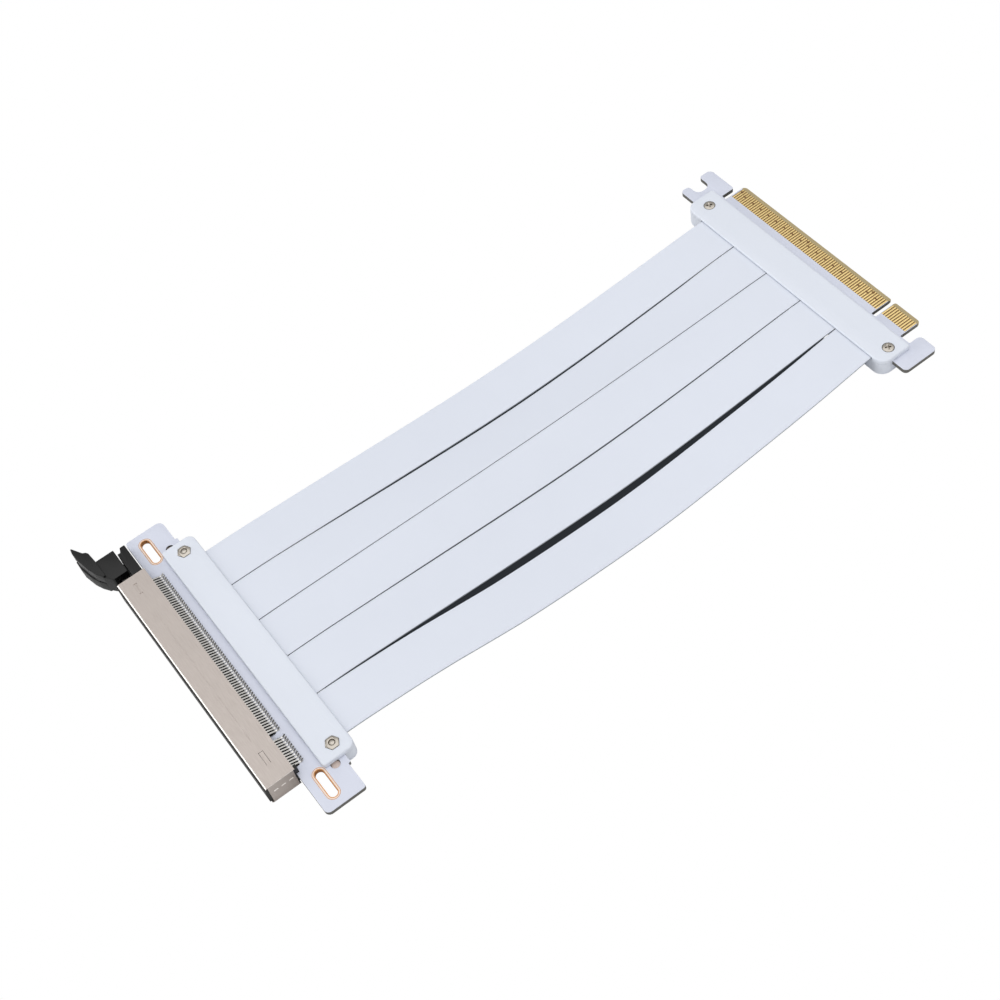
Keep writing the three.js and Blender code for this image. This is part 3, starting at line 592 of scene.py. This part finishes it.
def add_camera():
    """The camera solved from the photograph."""
    right = Vector(CAMERA_RIGHT).normalized()
    forward = Vector(CAMERA_FORWARD).normalized()
    up = right.cross(forward).normalized()
    data = bpy.data.cameras.new("camera")
    data.sensor_width = 36.0
    data.lens = CAMERA_LENS
    data.clip_start = 0.01
    data.clip_end = 10.0
    camera = bpy.data.objects.new("camera", data)
    turn = Matrix((right, up, -forward)).transposed()
    camera.matrix_world = Matrix.Translation(Vector(CAMERA_PLACE) * MM) @ turn.to_4x4()
    bpy.context.scene.collection.objects.link(camera)
    bpy.context.scene.camera = camera


add_camera()


# Ribbons

# Shares of the way from end to end, of the way down and of the way out, as in the part
ROUTE = [
    (0, 0, 0), (0.018, 0, 0), (0.046, 0.01, 0.04), (0.085, 0.05, 0.13), (0.137, 0.17, 0.2),
    (0.194, 0.3, 0.37), (0.252, 0.44, 0.66), (0.309, 0.58, 0.9), (0.366, 0.72, 0.98),
    (0.424, 0.85, 1), (0.481, 0.95, 1), (0.538, 1, 0.98), (0.595, 0.98, 0.92), (0.653, 0.91, 0.8),
    (0.71, 0.8, 0.68), (0.767, 0.65, 0.58), (0.825, 0.48, 0.49), (0.882, 0.29, 0.37),
    (0.93, 0.12, 0.22), (0.963, 0.03, 0.1), (0.982, 0, 0), (1, 0, 0),
]
# Height and sideways reach of each ribbon's left and right edge at the lowest place
SAG = [
    {"z": (1.59, 1.0), "x": (0.0, 0.1)},
    {"z": (0.71, 4.07), "x": (0.5, 0.1)},
    {"z": (4.07, 1.18), "x": (0.05, -0.15)},
    {"z": (1.0, 0.71), "x": (0.0, 0.15)},
    {"z": (0.71, 0.71), "x": (2.7, 3.0)},
]


def ribbon_place(index, along, down, out, across, height):
    """Where a point of a ribbon's section comes to lie."""
    side = across / RIBBON_WIDTH + 0.5
    z_left, z_right = SAG[index]["z"]
    x_left, x_right = SAG[index]["x"]
    x = BAND_MIDDLE + (index - 2) * RIBBON_PITCH + across + (x_left + (x_right - x_left) * side) * out
    lowest = z_left + (z_right - z_left) * side - RIBBON_THICK
    z = RIBBON_LOW + (lowest - RIBBON_LOW) * down + height
    return (x, RIBBON_START + along * (PLUG_Y - 2 * RIBBON_START), z)


def smooth_route(steps=150):
    """The route's points with a smooth line laid through them."""
    route = np.array(ROUTE)
    fine = np.linspace(0, 1, steps)
    window = np.hanning(11)[1:-1]
    window /= window.sum()
    lines = [fine]
    for column in (1, 2):
        plain = np.interp(fine, route[:, 0], route[:, column])
        lines.append(np.convolve(np.pad(plain, 4, mode="edge"), window, mode="valid"))
    return list(zip(*lines))


def add_ribbon(index):
    """A ribbon with rounded edges and a pressed line along each edge."""
    half = RIBBON_WIDTH / 2
    inset = [0.0, 0.05, 0.18, 0.45, 0.55, 0.7]
    rise = [0.2, 0.05, 0.0, 0.0, 0.05, 0.0]
    lower = [(-half + a, b) for a, b in zip(inset, rise)]
    lower += [(x, 0.0) for x in np.linspace(-half + 1.5, half - 1.5, 14)]
    lower += [(half - a, b) for a, b in reversed(list(zip(inset, rise)))]
    section = lower + [(x, RIBBON_THICK - z) for x, z in reversed(lower)]
    route = smooth_route()
    points = []
    faces = []
    count = len(section)
    for place in route:
        points += [ribbon_place(index, *place, across, height) for across, height in section]
    for row in range(len(route) - 1):
        for k in range(count):
            a = row * count + k
            b = row * count + (k + 1) % count
            faces.append((b, a, a + count, b + count))
    last = (len(route) - 1) * count
    faces.append(tuple(range(count)))
    faces.append(tuple(reversed(range(last, last + count))))
    name = f"ribbon_{index + 1}"
    piece = shown(f"jacket_{index + 1}", from_lists(points, faces), JACKET, angle=60.0)
    # The ribbon's side faces get the darker copy of the jacket, which is painted shade
    edge_coloured(piece, JACKET, RIBBON_SIDE_SHADE)
    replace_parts(piece, name)


for number in range(5):
    add_ribbon(number)


# Boards


def add_slot_board():
    """The slot end's board with its plated slots, peg holes and solder pads."""
    outline = rounded([
        (-EAR_X, BOARD_FRONT, 1.2),
        (EAR_X, BOARD_FRONT, 1.7),
        (EAR_X, EAR_REAR, 0.9),
        (EAR_STEP_X, EAR_REAR, 0.35),
        (EAR_STEP_X, EAR_STEP, 0.35),
        (TONGUE_X, EAR_STEP),
        (TONGUE_X, 4.6, 0.8),
        (-TONGUE_X, 4.6, 0.8),
        (-TONGUE_X, EAR_STEP),
        (-EAR_STEP_X, EAR_STEP, 0.35),
        (-EAR_STEP_X, EAR_REAR, 0.35),
        (-EAR_X, EAR_REAR, 2.2),
    ])
    loops = [outline]
    for side in (-1, 1):
        loops.append(stadium(side * EAR_SLOT_X, EAR_SLOT_Y, 10.4, 3.0))
        loops.append(ring(side * PEG_X, PEG_Y, 1.5))
        loops.append(ring(side * SCREW_X, 0, SCREW_HOLE_R))
    board = shown("slot_board_mask", plate_mesh(loops, BOARD_LOW, BOARD_TOP), MASK)
    edge_coloured(board, MASK, CORE)
    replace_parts(board, "slot_board")
    walls, lands, rims, pegs = [], [], [], []
    for side in (-1, 1):
        lines = [stadium(side * EAR_SLOT_X, EAR_SLOT_Y, *size) for size in SLOT_RINGS]
        walls.append(plate_mesh([lines[2], lines[3]], BOARD_LOW - 0.03, BOARD_TOP + 0.03, 0.02))
        lands.append(plate_mesh([lines[1], lines[2]], BOARD_LOW - 0.02, BOARD_TOP + 0.02, 0.01))
        rims.append(plate_mesh([lines[0], lines[1]], BOARD_LOW - 0.03, BOARD_TOP + 0.03, 0.02))
        pegs.append(lathe([(1.3, 3.0), (1.4, 3.1), (1.4, 4.2), (1.3, 4.3)], side * PEG_X, PEG_Y))
    shown("ear_slot_plating", merged(walls + rims), COPPER)
    shown("ear_slot_lands", merged(lands), TINTED)
    shown("locating_pegs", merged(pegs), PEG)
    pads = []
    for low, high in ((BOARD_TOP - 0.05, BOARD_TOP + 0.03), (BOARD_LOW - 0.03, BOARD_LOW + 0.05)):
        pad = plate_mesh([rounded(strip(-0.28, 0.28, -12.3, -9.3, 0.1, 0.1))], low, high, 0.01)
        pads.append(contact_rows(pad, TIN))
    shown("solder_pads", merged(pads), TIN)


add_slot_board()


def add_plug_board():
    """The plug end's board: hooked tab, card edge with its fingers, plain tab."""
    tip = EDGE_TIP
    far = tip - BEVEL
    near = far - FINGER_LENGTH
    tongue = [
        (-TONGUE_X, PLUG_Y - 4.6, 0.8),
        (TONGUE_X, PLUG_Y - 4.6, 0.8),
        (TONGUE_X, PLUG_FOOT),
    ]
    tab = [
        (53.8, PLUG_FOOT, 1.6),
        (53.8, PLUG_Y + 12, 1.6),
        (46.3, PLUG_Y + 12, 1.6),
        (46.3, PLUG_SHOULDER, 0.5),
    ]
    card_edge = [
        (EDGE_RIGHT, PLUG_SHOULDER),
        (EDGE_RIGHT, tip, 1.3),
        (EDGE_NOTCH[1], tip, 0.6),
        (EDGE_NOTCH[1], PLUG_SHOULDER, 0.3),
        (EDGE_NOTCH[0], PLUG_SHOULDER, 0.3),
        (EDGE_NOTCH[0], tip, 0.6),
        (EDGE_LEFT, tip, 1.3),
        (EDGE_LEFT, PLUG_SHOULDER, 0.4),
    ]
    hook = [
        (-44.55, PLUG_SHOULDER, 0.4),
        (-44.55, PLUG_Y + 12.85, 0.9),
        (-57.1, PLUG_Y + 12.85, 1.9),
        (-57.1, PLUG_Y + 7.7, 1.2),
        (-51.1, PLUG_Y + 7.7, 2.35),
        (-51.1, PLUG_Y + 2.1, 2.35),
        (-56.2, PLUG_Y + 2.1, 1.4),
        (-56.2, PLUG_FOOT, 1.4),
        (-TONGUE_X, PLUG_FOOT),
    ]
    outline = rounded(tongue + tab + card_edge + hook)
    loops = [outline] + [ring(x, y, SCREW_HOLE_R) for x, y in PLUG_SCREWS]
    mesh = plate_mesh(loops, BOARD_LOW, BOARD_TOP)
    bevels = []
    for face in (1, -1):
        level = BOARD_MIDDLE + face * 0.8
        low = level - face * BEVEL_DROP
        high = level + face
        profile = [(far, level), (tip, low), (tip + 1, low), (tip + 1, high), (far, high)]
        bevels.append(bar(profile, -44, 43.5))
    board = shown("plug_board_mask", cut(mesh, *bevels), MASK)
    mesh = board.data
    mesh.materials.clear()
    for material in (MASK, CORE, GROUND):
        mesh.materials.append(material)
    for face in mesh.polygons:
        at_edge = face.center.y > (far - 0.05) * MM
        face.material_index = 2 if at_edge else (0 if abs(face.normal.z) > 0.5 else 1)
    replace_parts(board, "plug_board")
    fingers = []
    for low, high in ((BOARD_TOP - 0.05, BOARD_TOP + 0.06), (BOARD_LOW - 0.06, BOARD_LOW + 0.05)):
        outline = rounded(strip(-FINGER_HALF, FINGER_HALF, near, far, 0.15, 0.1), 3)
        fingers.append(contact_rows(plate_mesh([outline], low, high, 0.02), GOLD))
    shown("gold_fingers", merged(fingers), GOLD)
    opened = [
        plate_mesh([rounded(strip(x0, x1, near, far, 0.3, 0.0))], low, high, 0.005, 0)
        for x0, x1 in ((-42.0, 28.85), (31.15, 41.9))
        for low, high in ((BOARD_TOP - 0.05, BOARD_TOP + 0.015), (BOARD_LOW - 0.015, BOARD_LOW + 0.05))
    ]
    level = (BOARD_TOP, BOARD_TOP + 0.075)
    bridges = row_mesh(block((-0.75, 0.75), (226.6, 227.1), level), -38.5, 17, RESIN, 4.0)
    stub_places = ((-41.0, 227.7), (-8.0, 228.1), (23.0, 228.2))
    stubs = [block((x - 0.5, x + 0.5), (y - 0.35, y + 0.35), level) for x, y in stub_places]
    shown("mask_opening", merged(opened + [bridges] + stubs), RESIN)


add_plug_board()


# Covers


def cover_outline(rear, corner):
    """The outline of a cover that reaches back to rear, with the corners there rounded by corner."""
    x, front = COVER_HALF_X, -COVER_FRONT
    return rounded([(-x, front, 0.9), (x, front, 0.9), (x, rear, corner), (-x, rear, corner)], 8)


def hexagon(x, y, flats):
    """A closed six-sided line, flats apart."""
    radius = flats / math.sqrt(3)
    return [
        (x + radius * math.sin(k * math.pi / 3), y + radius * math.cos(k * math.pi / 3))
        for k in range(6)
    ]


def add_cover(end, plug):
    """Both halves of one end's cover."""
    rear, corner = (6.0, 3.8) if plug else (5.3, 2.5)
    band = -BAND_MIDDLE if plug else BAND_MIDDLE
    screws = [(-0.6 - SCREW_X, -0.3), (SCREW_X - 0.6, -0.3)] if plug else SLOT_SCREWS
    holes = [ring(x, y, SCREW_HOLE_R) for x, y in screws]
    upper = plate_mesh([cover_outline(rear, corner)] + holes, BOARD_TOP + 0.1 - 0.6, COVER_TOP, 0.5, 3)
    tools = [
        block((-60, 60), (-10, 10), (0, BOARD_TOP + 0.1)),
        block((band - BAND_HALF - 0.4, band + BAND_HALF + 0.4), (1.9, 10), (BOARD_TOP - 1, ROOF_LOW)),
    ]
    for x, y in screws:
        recess = ring(x, y, HEAD_POCKET_R) if plug else hexagon(x, y, NUT_POCKET_FLATS)
        low = COVER_TOP - (1.0 if plug else 0.9)
        tools.append(plate_mesh([recess], low, COVER_TOP + 2, 0.001, 0))
    top = shown(f"{end}_upper_shell", turned(cut(upper, *tools), plug), COVER)
    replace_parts(top, f"{end}_upper_cover")
    lower = plate_mesh([cover_outline(rear, corner)] + holes, 0, BOARD_TOP + 0.5, 0.4, 3)
    bed = BOARD_LOW - 0.1
    ear_rear = 1.6 if plug else 1.2
    tools = [
        block((-60, 60), (-10, 10), (BOARD_TOP, 10)),
        block((-60, 60), (-10, ear_rear), (bed, 10)),
        block((-46.1, 46.1), (-10, 4.7), (bed, 10)),
        block((-39.5, 39.5), (-4.75, rear - 1.3), (1.2, 10)),
    ]
    for x, y in screws:
        recess = hexagon(x, y, NUT_POCKET_FLATS) if plug else ring(x, y, HEAD_POCKET_R)
        tools.append(plate_mesh([recess], -1, 1.4 if plug else 1.2, 0.001, 0))
    base = shown(f"{end}_lower_shell", turned(cut(lower, *tools), plug), COVER)
    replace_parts(base, f"{end}_lower_cover")


add_cover("slot", False)
add_cover("plug", True)


# Screws and nuts


def screw_mesh(length):
    """A crosshead machine screw, head down with its face at zero, thread up."""
    profile = [(0.0, 0.0), (1.55, 0.0), (1.85, 0.12), (1.95, 0.35), (1.95, 1.1), (1.0, 1.1)]
    height = 1.3
    while height < length - 0.45:
        profile += [(0.82, height), (1.0, height + 0.14), (1.0, height + 0.2), (0.82, height + 0.34)]
        height += 0.4
    profile += [(0.8, length - 0.1), (0.65, length), (0.0, length)]
    profile = [(max(r, 0.001), z) for r, z in profile]
    body = lathe(profile, 0, 0)
    cross = []
    for turn in (0, 1):
        wing = from_lists(
            [(-1.15, -0.3, -0.1), (1.15, -0.3, -0.1), (1.15, 0.3, -0.1), (-1.15, 0.3, -0.1),
             (-0.55, -0.2, 0.75), (0.55, -0.2, 0.75), (0.55, 0.2, 0.75), (-0.55, 0.2, 0.75)],
            [(0, 3, 2, 1), (4, 5, 6, 7), (0, 1, 5, 4), (1, 2, 6, 5), (2, 3, 7, 6), (3, 0, 4, 7)],
        )
        wing.transform(Matrix.Rotation(turn * math.pi / 2 + 0.5, 4, "Z"))
        cross.append(wing)
    return cut(body, *cross)


def nut_mesh():
    """A hex nut with its corners chamfered and a threaded bore."""
    body = plate_mesh([hexagon(0, 0, NUT_FLATS), ring(0, 0, 1.08)], 0, 1.2, 0.04)
    cone = lathe([(1.75, 0.0), (2.32, 0.32), (2.32, 0.88), (1.75, 1.2)], 0, 0)
    return combined(body, [cone], "INTERSECT")


def placed(mesh, x, y, z, over=False):
    """A mesh moved to a place, turned over first when asked."""
    turn = Matrix.Rotation(math.pi, 4, "X") if over else Matrix.Identity(4)
    mesh.transform(Matrix.Translation(Vector((x, y, z)) * MM) @ turn)
    return mesh


def add_fixings():
    """The screw and nut at each side of each cover."""
    for side, slot, plug in zip(("left", "right"), SLOT_SCREWS, PLUG_SCREWS):
        pieces = (
            (f"slot_machine_screw_{side}", placed(screw_mesh(7.1), *slot, 0.1), f"slot_screw_{side}"),
            (f"slot_hex_nut_{side}", placed(nut_mesh(), *slot, 6.0), f"slot_nut_{side}"),
            (f"plug_machine_screw_{side}", placed(screw_mesh(6.6), *plug, 7.0, True), f"plug_screw_{side}"),
            (f"plug_hex_nut_{side}", placed(nut_mesh(), *plug, 0.1), f"plug_nut_{side}"),
        )
        for name, mesh, node in pieces:
            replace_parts(shown(name, mesh, NICKEL), node)


add_fixings()


# Connector


def add_moulding():
    """The black moulding with its card slot, latch post and foot."""
    body = block((SHELL_LEFT, MOULDING_RIGHT), (-22.5, -13.3), (0.5, 8.5))
    adds = [
        block((SHELL_LEFT, MOULDING_RIGHT), (-23.4, -22.0), (0.8, 8.2)),
        block((42.6, MOULDING_RIGHT), (-14.3, -12.1), (5.2, 8.0)),
        block((42.6, MOULDING_RIGHT), (-14.3, -12.1), (1.0, 3.2)),
    ]
    # Thin black strips on both faces of the board, under the tails: a dark sheet put in as painted shade
    # between the tails
    for x0, x1 in ((-42.1, 29.1), (30.9, 42.1)):
        adds.append(block((x0, x1), (-14.3, -11.2), (BOARD_TOP + 0.12, BOARD_TOP + 0.35)))
        adds.append(block((x0, x1), (-14.3, -10.8), (BOARD_TOP + 0.04, BOARD_TOP + 0.14)))
        adds.append(block((x0, x1), (-14.3, -11.2), (BOARD_LOW - 0.35, BOARD_LOW - 0.12)))
    foot = rounded([
        (-57.6, -13.7, 0.2),
        (-44, -13.7),
        (-44, -17.15),
        (-55.8, -17.15),
        (-55.8, -16.1, 0.2),
        (-57.6, -15.4, 0.2),
    ], 3)
    adds.append(plate_mesh([foot], 0.7, 8.3, 0.12))
    adds.append(block((-51.5, -44), (-18.9, -13.7), (3.2, 5.8)))
    adds.append(lathe([(2.0, 3.2), (2.0, 5.8)], *PIVOT))
    adds.append(lathe([(0.9, 1.9), (0.9, 7.1)], *PIVOT, 20))
    whole = combined(body, adds, "UNION")
    slots = [
        block((-42.75, 29.2), (-24.4, -15.0), (3.575, 5.425)),
        block((30.8, 42.4), (-24.4, -15.0), (3.575, 5.425)),
        bar([(-23.41, 3.1), (-23.41, 5.9), (-22.9, 5.42), (-22.9, 3.58)], -43.1, 42.7),
    ]
    mesh = softened(cut(whole, *slots), 0.08)
    piece = shown("connector_moulding", mesh, NYLON)
    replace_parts(piece, "slot_housing")


def tail_mesh(face):
    """One contact's tail: out of the moulding, down on its pad, tip turned up."""
    level = BOARD_MIDDLE + face * 0.9
    line = [
        (-13.9, 1.0), (-13.1, 0.98), (-12.6, 0.86), (-10.7, 0.1), (-10.3, 0.0), (-9.9, 0.12), (-9.1, 0.7),
    ]
    near = [(y, level + face * rise) for y, rise in line]
    far = [(y, level + face * (rise + 0.2)) for y, rise in line]
    return bar(near + far[::-1], -0.25, 0.25)


def spring_mesh(face):
    """One contact's spring, standing out of the wall of the card slot."""
    wall = SHELL_MIDDLE + face * 0.925
    line = [(-22.2, 0.0), (-21.2, 0.28), (-20.0, 0.36), (-18.4, 0.1), (-15.2, 0.02)]
    near = [(y, wall - face * (rise + 0.05)) for y, rise in line]
    far = [(y, wall + face * 0.1) for y, rise in line]
    return bar(near + far[::-1], -0.25, 0.25)


def add_contacts():
    """The plated contacts: tails behind the connector and springs in its slot."""
    tails = merged([contact_rows(tail_mesh(face), TIN) for face in (1, -1)])
    shown("contact_tails", tails, TIN)
    springs = merged([contact_rows(spring_mesh(face), GOLD) for face in (1, -1)])
    shown("contact_springs", springs, GOLD)


def bend_line(radius):
    """The quarter turn from the shell's roof down to its front lip, in Y and Z."""
    angles = [math.pi / 2 + k * math.pi / 12 for k in range(7)]
    y, z = SHELL_FRONT + SHELL_BEND_R, SHELL_TOP - SHELL_BEND_R
    return [(y + radius * math.cos(angle), z + radius * math.sin(angle)) for angle in angles]


def add_shell():
    """The folded steel shell: roof, floor, front lips and the right end's flap."""
    lip = SHELL_TOP - SHELL_BEND_R - 0.02
    outer = [(BOARD_FRONT, SHELL_TOP)] + bend_line(SHELL_BEND_R) + [(SHELL_FRONT, lip)]
    inner = bend_line(SHELL_BEND_R - SHEET) + [(SHELL_FRONT + SHEET, lip)]
    roof_line = outer + inner[::-1] + [(BOARD_FRONT, SHELL_TOP - SHEET)]
    floor_line = [(y, SHELL_TOP - z) for y, z in reversed(roof_line)]
    roof = cut(bar(roof_line, SHELL_LEFT, SHELL_RIGHT - 0.05), *roof_cuts())
    floor = bar(floor_line, SHELL_LEFT, SHELL_RIGHT - 0.05)
    flap = block((SHELL_RIGHT - SHEET, SHELL_RIGHT), (-22.35, -13.6), (0.1, SHELL_TOP - 0.1))
    flap = cut(flap, *[block((44.3, 45), (y, y + 1.5), (5.3, 5.6)) for y in (-21.1, -18.5, -15.9)])
    tongue = from_lists(
        [(33.6, -18.5, 8.95), (38.2, -18.5, 8.5), (38.2, -17.2, 8.5), (33.6, -17.2, 8.95),
         (33.6, -18.5, 8.75), (38.2, -18.5, 8.3), (38.2, -17.2, 8.3), (33.6, -17.2, 8.75)],
        [(0, 1, 2, 3), (7, 6, 5, 4), (0, 4, 5, 1), (1, 5, 6, 2), (2, 6, 7, 3), (3, 7, 4, 0)],
    )
    whole = merged([softened(roof, 0.04), softened(floor, 0.05), softened(flap, 0.15), tongue])
    piece = shown("folded_shell", whole, SHELL, angle=12.0)
    # Faces of the front bend and of the flap's top edge that face up and outwards get the paler sheet, a
    # painted highlight
    piece.data.materials.append(BEND_HIGHLIGHT)
    for face in piece.data.polygons:
        x, y, z = face.normal
        at_highlight_edge = face.center.y < -22.3 * MM or face.center.x > 44.2 * MM
        face.material_index = 1 if at_highlight_edge and z > 0.15 and (y < -0.25 or x > 0.25) else 0
    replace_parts(piece, "slot_shield")


def roof_cuts():
    """The cuts in the roof: an I-shaped lance, a window for a spring tongue and a groove."""
    through = (SHELL_TOP - SHEET - 0.1, SHELL_TOP + 0.1)
    dent = (SHELL_TOP - 0.18, SHELL_TOP + 0.1)
    return [
        block((-41.5, -37.4), (-18.4, -18.0), dent),
        block((-41.8, -41.35), (-18.8, -17.6), dent),
        block((-37.55, -37.1), (-18.8, -17.6), dent),
        block((33.5, 38.3), (-18.6, -17.1), through),
        block((-27.0, 29.0), (-18.3, -18.14), (SHELL_TOP - 0.1, SHELL_TOP + 0.1)),
    ]


def add_lever():
    """The latch: two cheeks round the post and a wide thumb tab in two layers with a waist."""
    right, left = -48.4, -58.3
    foot, top = -17.5, -23.9
    neck = -51.2
    cheek_line = rounded([
        (right, foot, 0.5), (right, top + 1.3, 1.2), (neck, top - 0.9), (left, top - 0.9), (left, foot, 0.3),
    ], 4)
    upper_line = rounded([
        (neck, top), (neck, top - 0.9, 0.3), (-53.7, top - 2.4, 0.5), (-56.6, top - 3.3, 0.8),
        (-61.8, top - 4.3, 1.0), (-65.6, top - 4.5, 0.5), (-68.0, top - 4.1, 0.25),
        (-63.6, top - 1.75, 0.4), (-63.0, top - 0.8, 0.3), (-62.2, top - 0.3, 0.3), (left, top, 0.3),
    ], 4)
    lower_line = rounded([
        (neck, top), (neck, top - 0.9, 0.3), (-53.7, top - 2.5, 0.5), (-56.6, top - 3.7, 0.8),
        (-61.4, top - 4.75, 1.0), (-65.4, top - 4.75, 0.5), (-65.9, top - 3.4, 0.3),
        (-63.0, top - 0.8, 0.3), (left, top, 0.3),
    ], 4)
    waist_line = rounded([
        (-51.4, top), (-54, top - 1.9), (-64.5, top - 3.9), (-62.4, top - 0.8), (left, top),
    ])
    cheeks = plate_mesh([cheek_line], 0.8, 8.2, 0.12)
    upper = plate_mesh([upper_line], 5.0, 8.9, 0.15)
    lower = plate_mesh([lower_line], 0.1, 4.5, 0.15)
    waist = plate_mesh([waist_line], 4.2, 5.6, 0.01, 0)
    thumb = combined(lower, [waist, upper], "UNION")
    whole = combined(cheeks, [thumb], "UNION")
    room = block((-52.9, right + 1), (-21.4, foot + 1), (2.9, 6.1))
    bore = lathe([(1.15, 1.6), (1.15, 7.4)], *PIVOT, 20)
    piece = shown("latch_thumb_lever", cut(whole, room, bore), NYLON, LEVER)
    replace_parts(piece, "latch_lever")


add_moulding()
add_contacts()
add_shell()
add_lever()


# Studio


def ramp(tree, value, start, end):
    """Zero at the start and one at the end, both in millimetres."""
    return add_node(
        tree,
        "ShaderNodeMapRange",
        {"Value": value, "From Min": start * MM, "From Max": end * MM, "To Min": 0.0, "To Max": 1.0},
    )


def band(tree, value, low, high, fade):
    """One where a value lies between two limits in millimetres, fading to zero past them."""
    rise = ramp(tree, value, low - fade, low)
    fall = ramp(tree, value, high + fade, high)
    both = add_node(tree, "ShaderNodeMath", {0: rise.outputs[0], 1: fall.outputs[0]}, operation="MULTIPLY")
    return both.outputs[0]


def add_floor():
    """A pale floor that the camera sees as white, but for a dark patch under the ribbons.

    The camera sees the floor without any shade on it, so the slits between the ribbons would
    be white. The patch makes them as dark as in the photograph. It is painted on the floor,
    not on the part, and isn't a real shadow.
    """
    material, tree = new_material("pale_studio_floor")
    place = add_node(tree, "ShaderNodeTexCoord")
    split = add_node(tree, "ShaderNodeSeparateXYZ", {0: place.outputs["Object"]})
    across = band(tree, split.outputs["X"], *PAINTED_SHADE_X, 1.0)
    along = band(tree, split.outputs["Y"], *PAINTED_SHADE_Y, 1.0)
    in_painted_shade = add_node(tree, "ShaderNodeMath", {0: across, 1: along}, operation="MULTIPLY")
    shade = blended(tree, in_painted_shade.outputs[0], (1.0, 1.0, 1.0, 1.0), linear("2C2F33"))
    path = add_node(tree, "ShaderNodeLightPath")
    pale = add_node(tree, "ShaderNodeBsdfDiffuse", {"Color": linear("E6E6E6")})
    seen = add_node(tree, "ShaderNodeEmission", {"Color": shade, "Strength": 1.0})
    seen_by_camera = path.outputs["Is Camera Ray"]
    mix = add_node(tree, "ShaderNodeMixShader", {0: seen_by_camera, 1: pale.outputs[0], 2: seen.outputs[0]})
    add_node(tree, "ShaderNodeOutputMaterial", {"Surface": mix.outputs[0]})
    mesh = bpy.data.meshes.new("floor")
    reach = 3.0
    corners = [(-reach, -reach, 0), (reach, -reach, 0), (reach, reach, 0), (-reach, reach, 0)]
    mesh.from_pydata(corners, [], [(0, 1, 2, 3)])
    mesh.materials.append(material)
    floor = bpy.data.objects.new("floor", mesh)
    bpy.context.scene.collection.objects.link(floor)


def add_light(name, size, place, aim, power):
    """A square soft box."""
    data = bpy.data.lights.new(name, "AREA")
    data.size = size
    data.energy = power
    lamp = bpy.data.objects.new(name, data)
    lamp.location = place
    direction = Vector(aim) - Vector(place)
    lamp.rotation_euler = direction.to_track_quat("-Z", "Y").to_euler()
    bpy.context.scene.collection.objects.link(lamp)


def add_studio():
    """Soft light from above and both sides, and a white world."""
    add_floor()
    middle = (0.0, 0.1, 0.0)
    add_light("overhead", 2.4, (-0.1, 0.15, 1.6), middle, 18.0)
    add_light("fill", 0.8, (1.1, 0.0, 0.7), middle, 3.0)
    add_light("front", 1.1, (-0.8, -1.2, 0.25), (0.0, -0.02, 0.0), 11.0)
    world = bpy.data.worlds.new("world")
    world.use_nodes = True
    background = world.node_tree.nodes["Background"]
    background.inputs["Color"].default_value = (1.0, 1.0, 1.0, 1.0)
    background.inputs["Strength"].default_value = 0.45
    bpy.context.scene.world = world
    scene = bpy.context.scene
    scene.view_settings.view_transform = "Standard"
    scene.render.resolution_x = PICTURE_SIZE
    scene.render.resolution_y = PICTURE_SIZE


add_studio()
